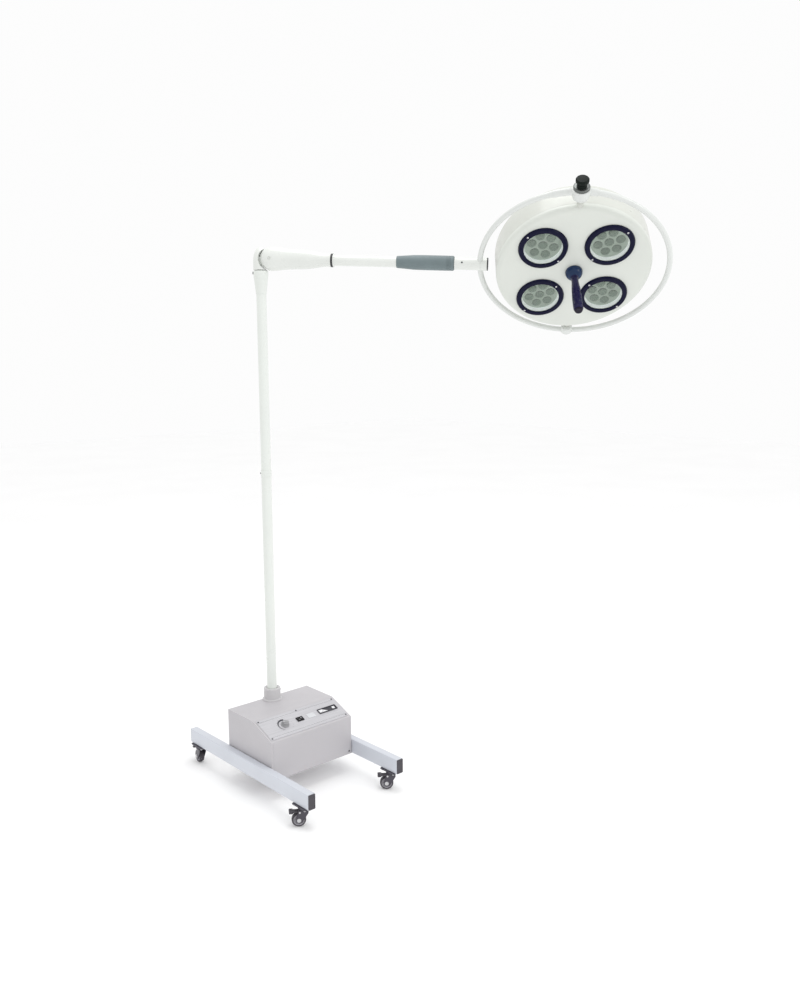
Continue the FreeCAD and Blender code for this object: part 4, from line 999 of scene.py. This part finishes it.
def clamp_blocks():
    """The cast block at the ring's top, its small screw, and the foot at the bottom."""
    top, cup_low = HOOP_RADIUS + 12, HOOP_RADIUS - 32
    boss = rounded([(8.1, cup_low), (14, cup_low, 3), (25, cup_low + 6, 12), (29, cup_low + 17, 10),
                    (29, top - 0.5, 1.5), (26, top, 0.8), (6.5, top), (6, top + 14),
                    (0, top + 14)], 8)
    parts = [lathe("boss", boss, 96),
             tube_along("sleeve", arc_points(HOOP_RADIUS, 105.5, -25, 34), 12, 32),
             tube_along("neck", arc_points(HOOP_RADIUS, 107.5, -2, 4), 10.7, 32)]
    screw = spun("screw", [(0, 0), (4.2, 0), (4.2, 3.4, 1), (2, 3.6), (2, 2), (0, 2)], 6, 4)
    parts.append((screw, turned(moved(), 5, "Y") @ moved(-38, -10, HOOP_RADIUS - 4, "-y"), 1))
    piece("clamp_block", joined("clamp_block", parts), YOKE, ("hoop", "steel"), "yoke",
          "pivot_blocks", bevel=0.3, segments=2)
    foot = [(8.1, 12), (14, 12, 2), (20, 9, 4), (21, 2, 3), (21, -15, 2), (18, -19, 2.5),
            (8, -20, 1), (6, -18.5), (0, -18.5)]
    piece("pivot_foot", spun("foot", foot), spot(YOKE, 0, 0, -HOOP_RADIUS + 10), "hoop", "yoke")


def tilt_knob():
    """The clamp knob: a knurled metal skirt, a waisted neck and a lobed mushroom head."""
    start = HOOP_RADIUS + 12.5

    def knurl(angle, radius, _height):
        return radius - (0.9 if radius > 25 else 0) * (0.5 + 0.5 * math.cos(30 * angle)) ** 3

    def lobes(angle, radius, _height):
        return radius - (0.8 if radius > 20 else 0) * (0.5 + 0.5 * math.cos(12 * angle)) ** 4

    skirt = [(0, 0), (26, 0), (27, 1, 0.8), (27, 7, 1.5), (24, 9, 1.5), (18, 9.4, 1), (0, 9.4)]
    head = [(0, 9), (17, 9, 0.6), (16.6, 11, 3), (14, 17, 6), (15.4, 22, 6), (21.6, 26, 3),
            (22, 30), (22, 34.5, 3.5), (18, 37.6, 5), (0, 38)]
    parts = [(spun("skirt", skirt, 240, 4, ripple=knurl), WORLD, 1),
             spun("head", head, 144, 6, ripple=lobes)]
    piece("clamp_knob", joined("clamp_knob", parts), spot(YOKE, 0, 0, start), ("knob", "skirt"),
          "knob", "tilt_knob")


ring_yoke()
clamp_blocks()
tilt_knob()

# ------------------------------------------------------------------ head
FACE_DEPTH, HEAD_RADIUS = 28, 268
DOME_RADIUS, HEAD_BACK = 500, 172
POD_SPREAD = 157
BEZEL_RADIUS, BEZEL_HOLE, BEZEL_HEIGHT = 84, 66.5, 9
CUP_DEPTH, LED_RING, LENS_RADIUS = 32, 37, 15.5
RIM = 18
SHELL = 3
TOWARDS_LAMPS = spot(HEAD, way="-y")
FACE = spot(HEAD, 0, -FACE_DEPTH, 0, "-y")


def head_profile(inset):
    """The head's side view from the middle of its back, over the shoulder, to the drum."""
    centre = HEAD_BACK - DOME_RADIUS
    dome, drum = DOME_RADIUS - inset, HEAD_RADIUS - inset
    turn = math.asin(drum / dome)
    points = []
    for step in range(15):
        angle = turn * step / 16
        points.append((dome * math.sin(angle), -(centre + dome * math.cos(angle)), 12))
    points.append((drum, -(centre + dome * math.cos(turn)), 38))
    return points


def head_shell():
    """The domed back and drum, hollow, with the pivot pins at the ring's two ends."""
    seam = FACE_DEPTH - RIM - 6
    outside = head_profile(0) + [(HEAD_RADIUS, seam)]
    inside = head_profile(SHELL) + [(HEAD_RADIUS - SHELL, seam)]
    profile = rounded(outside, 8) + rounded(inside[::-1], 8)
    shell = lathe("head_shell", profile, 192)
    inverse = HEAD.inverted()
    parts = [(shell, inverse @ TOWARDS_LAMPS)]
    for way, side in (("+z", 1), ("-z", -1)):
        pin = spun("pin", [(0, -8), (10.5, -8), (10.5, 7, 2), (9, 9.6, 1), (8, 10.4, 1),
                           (8, 41), (0, 41)], 64)
        parts.append((pin, inverse @ spot(PIVOT, 0, 0, side * (HEAD_RADIUS + 4), way)))
    piece("head_dome", joined("head_shell", parts), HEAD, "head", "head", "head_shell")


def pods():
    """The four lamp positions, each on the face plane with +X away from the head's centre."""
    return [turned(FACE, angle) @ moved(POD_SPREAD) for angle in (45, 135, 225, 315)]


def head_face():
    """The face pan: a flat front that turns over a rounded rim, with its five openings."""
    seam, inner = -RIM - 5.4, RIM - SHELL
    outside, inside = [(0, 0)], [(0, -SHELL)]
    for step in range(13):
        angle = math.radians(90 * step / 12)
        across, down = math.sin(angle), math.cos(angle)
        outside.append((HEAD_RADIUS - RIM + RIM * across, -RIM + RIM * down))
        inside.append((HEAD_RADIUS - RIM + inner * across, -RIM + inner * down))
    outside.append((HEAD_RADIUS, seam))
    inside.append((HEAD_RADIUS - SHELL, seam))
    pan = lathe("face", outside + inside[::-1], 192)
    cutters = [bore(8.2, 20, 32)]
    cutters += [(bore(BEZEL_HOLE, 20, 96), FACE.inverted() @ pod) for pod in pods()]
    piece("face_pan", carved(pan, cutters), FACE, "face", "head", "face_plate")


def lamps():
    """Bezels with their screws, glasses, white cups with a painted glow, and the seven-lens modules
    behind them.
    """
    bezel = spun("bezel", [(BEZEL_RADIUS, 0.1), (BEZEL_RADIUS, 2.4, 0.8), (81.1, 8.2, 2.5),
                           (78.5, 9, 1.2), (69.4, 9, 1.4), (65.6, 7.2, 0.8), (65.6, 5.1),
                           (68.6, 5.1), (68.6, 0.1)], 128, loop=True)
    glass = spun("glass", [(0, 2.1), (68.2, 2.1, 0.3), (68.2, 4.9, 0.3), (0, 4.9)], 96, 3)
    cup = spun("cup", [(66.3, 0), (58.6, -CUP_DEPTH), (57.2, -CUP_DEPTH), (63.6, -1.2, 2),
                       (65, 0, 0.6)], 96, 6, loop=True)
    board = spun("board", [(0, -36), (58.5, -36), (58.5, -32.2, 0.4), (0, -32.2)], 64, 3)
    plate = spun("plate", [(0, -17.2), (60.4, -17.2, 0.4), (60.6, -14, 0.8), (0, -14)], 64, 3)
    edge = spun("edge", [(LENS_RADIUS, -14), (LENS_RADIUS + 1.2, -14),
                         (LENS_RADIUS + 0.6, -13.4, 0.4), (LENS_RADIUS, -13.4)], 40, 3, loop=True)
    seat = lathe("seat", [(0, -13.8), (LENS_RADIUS, -13.8), (LENS_RADIUS, -13.7), (0, -13.7)], 40)
    profile = [(0, -13.6)]
    for step in range(9):
        angle = math.radians(90 * step / 8)
        profile.append((LENS_RADIUS * math.cos(angle) * 0.98, -13.5 + 3 * math.sin(angle)))
    optic = lathe("optic", profile, 40)
    lenses = [moved()]
    for step in range(6):
        turn = math.radians(60 * step + 30)
        lenses.append(moved(LED_RING * math.cos(turn), LED_RING * math.sin(turn)))
    parts = [board, plate]
    for lens in lenses:
        parts += [(edge, lens), (seat, lens, 1)]
    parts.append((prism("sink", circle(48, steps=41)[:40], -42, -36), WORLD, 2))
    parts += [(prism("fin", rectangle(58, 2.4, 0.8, 0, y), -64, -42), WORLD, 2)
              for y in (-36, -24, -12, 0, 12, 24, 36)]
    module = joined("module", parts)
    screw, screw_x = screw_mesh(3.3, 1.3), (BEZEL_RADIUS + BEZEL_HOLE) / 2 + 0.5
    screws = [moved(x, 0, BEZEL_HEIGHT - 0.2) for x in (-screw_x, screw_x)]
    here = [moved()]
    for name, mesh, spots, material, nodes, slot in (
            ("bezels", bezel, here, "bezel", "lamp_bezels", "bezel_navy"),
            # the second material paints the crosses dark, painted shade of their recesses
            ("screws", screw, screws, ("screw", "dark_screw"), "bezel_screws", "screw_steel"),
            ("glasses", glass, here, "glass", "lamp_glasses", "lamp_glass"),
            ("cups", cup, here, "cup", "reflector_cups", "cup_white"),
            ("modules", module, here, ("board", "die", "steel"), "led_modules", "led_metal"),
            ("optics", optic, lenses, "lens", (), "led_metal")):
        copies = [(mesh, FACE.inverted() @ pod @ place) for pod in pods() for place in spots]
        piece("lamp_" + name, joined(name, copies), FACE, material, "head", nodes)


head_shell()
head_face()
lamps()

# ------------------------------------------------------------------ handle
HANDLE = spot(HEAD, 0, -FACE_DEPTH - 0.5, 0, "-y")
BALL, BALL_DEPTH = 30, 2
GRIP_TIP = 186


def handle():
    """The glossy cup, the swelling grip with its end band, and the release button."""
    cup = [(0, -12), (8, -12), (8, 0), (28.8, 0), (29.6, 0.4)]
    for step in range(19):
        angle = math.radians(-1.5 + 84 * step / 18)
        cup.append((BALL * math.cos(angle), BALL_DEPTH + BALL * math.sin(angle)))
    cup.append((0, BALL_DEPTH + BALL))
    piece("handle_cup", lathe("cup", cup, 96), HANDLE, "dome", "handle", "handle_dome")
    bore, floor = 13.3, GRIP_TIP - 12
    stick = rounded([(0, 27), (12.6, 27), (13.6, 30, 2), (12, 34, 3), (12.2, 52, 20), (15, 90, 40),
                     (17, 134, 40), (17, 166, 10), (16.4, 168), (15.6, 168.6), (15.6, 170.4),
                     (16.4, 171), (17, 172.4, 1), (16.6, 179, 4), (14.6, GRIP_TIP, 2),
                     (bore, GRIP_TIP - 0.6), (bore, floor), (0, floor)], 6)

    def ribs(angle, radius, height):
        along = 60 < height < 165 and radius > 11.9
        return radius - (0.35 if along else 0) * (0.5 + 0.5 * math.cos(16 * angle)) ** 2

    piece("handle_stick", lathe("stick", stick, 128, ripple=ribs), HANDLE, "handle", "handle",
          "handle_grip")
    button = rounded([(0, GRIP_TIP - 8), (12.9, GRIP_TIP - 8), (12.9, GRIP_TIP + 4.5, 1.5),
                      (11, GRIP_TIP + 6, 1.5), (7, GRIP_TIP + 5.4, 2), (0, GRIP_TIP + 5)], 5)
    piece("release_button", lathe("button", button, 64), HANDLE, "tip", "button", "handle_button")


handle()

# ------------------------------------------------------------------ carried-over nodes
CARRIED = {
    "base_tray": "cover", "cross_beams": "steel", "battery_pack": "battery",
    "power_supply": "iron", "driver_board": "circuit", "elbow_knuckle": "arm",
    "arm_housing": "arm", "knuckle_pin": "arm", "balance_spring": "steel",
}
for node, material in CARRIED.items():
    mesh = frame["nodes"][node].data
    mesh.materials.clear()
    mesh.materials.append(M[material])


# ------------------------------------------------------------------ stage and lights
def make_stage():
    """A plain pale floor."""
    n = Nodes("floor_pale")
    n.ramp(n.noise(1.2, 3), [(0.3, (0.93, 0.93, 0.93)), (0.7, (0.95, 0.95, 0.95))], "Base Color")
    n.spread(n.noise(30, 4), 0.75, 0.85, "Roughness")
    n.look(Emission_Color=(1, 1, 1, 1), Emission_Strength=0.05)
    build = bmesh.new()
    bmesh.ops.create_grid(build, x_segments=4, y_segments=4, size=14)
    mesh = bpy.data.meshes.new("floor")
    build.to_mesh(mesh)
    build.free()
    mesh.materials.append(n.material)
    floor = bpy.data.objects.new("floor", mesh)
    bpy.context.scene.collection.objects.link(floor)


def add_light(name, place, target, size, power):
    """A large soft area light aimed at a point."""
    data = bpy.data.lights.new(name, "AREA")
    data.shape = "DISK"
    data.size = size
    data.energy = power
    light = bpy.data.objects.new(name, data)
    bpy.context.scene.collection.objects.link(light)
    aim = (Vector(target) - Vector(place)).to_track_quat("-Z", "Y")
    light.matrix_world = Matrix.Translation(place) @ aim.to_matrix().to_4x4()


def make_lights():
    """A bright even room: a white world with a soft key and a soft top light."""
    world = bpy.data.worlds.new("room")
    world.use_nodes = True
    background = world.node_tree.nodes["Background"]
    background.inputs["Color"].default_value = (1, 1, 1, 1)
    background.inputs["Strength"].default_value = 0.98
    bpy.context.scene.world = world
    add_light("key", (1.6, -4.4, 3.6), (0.2, -0.2, 1.0), 2.0, 35)
    add_light("top", (0.2, -0.3, 5.2), (0.2, -0.2, 0.0), 2.6, 50)


make_stage()
make_lights()
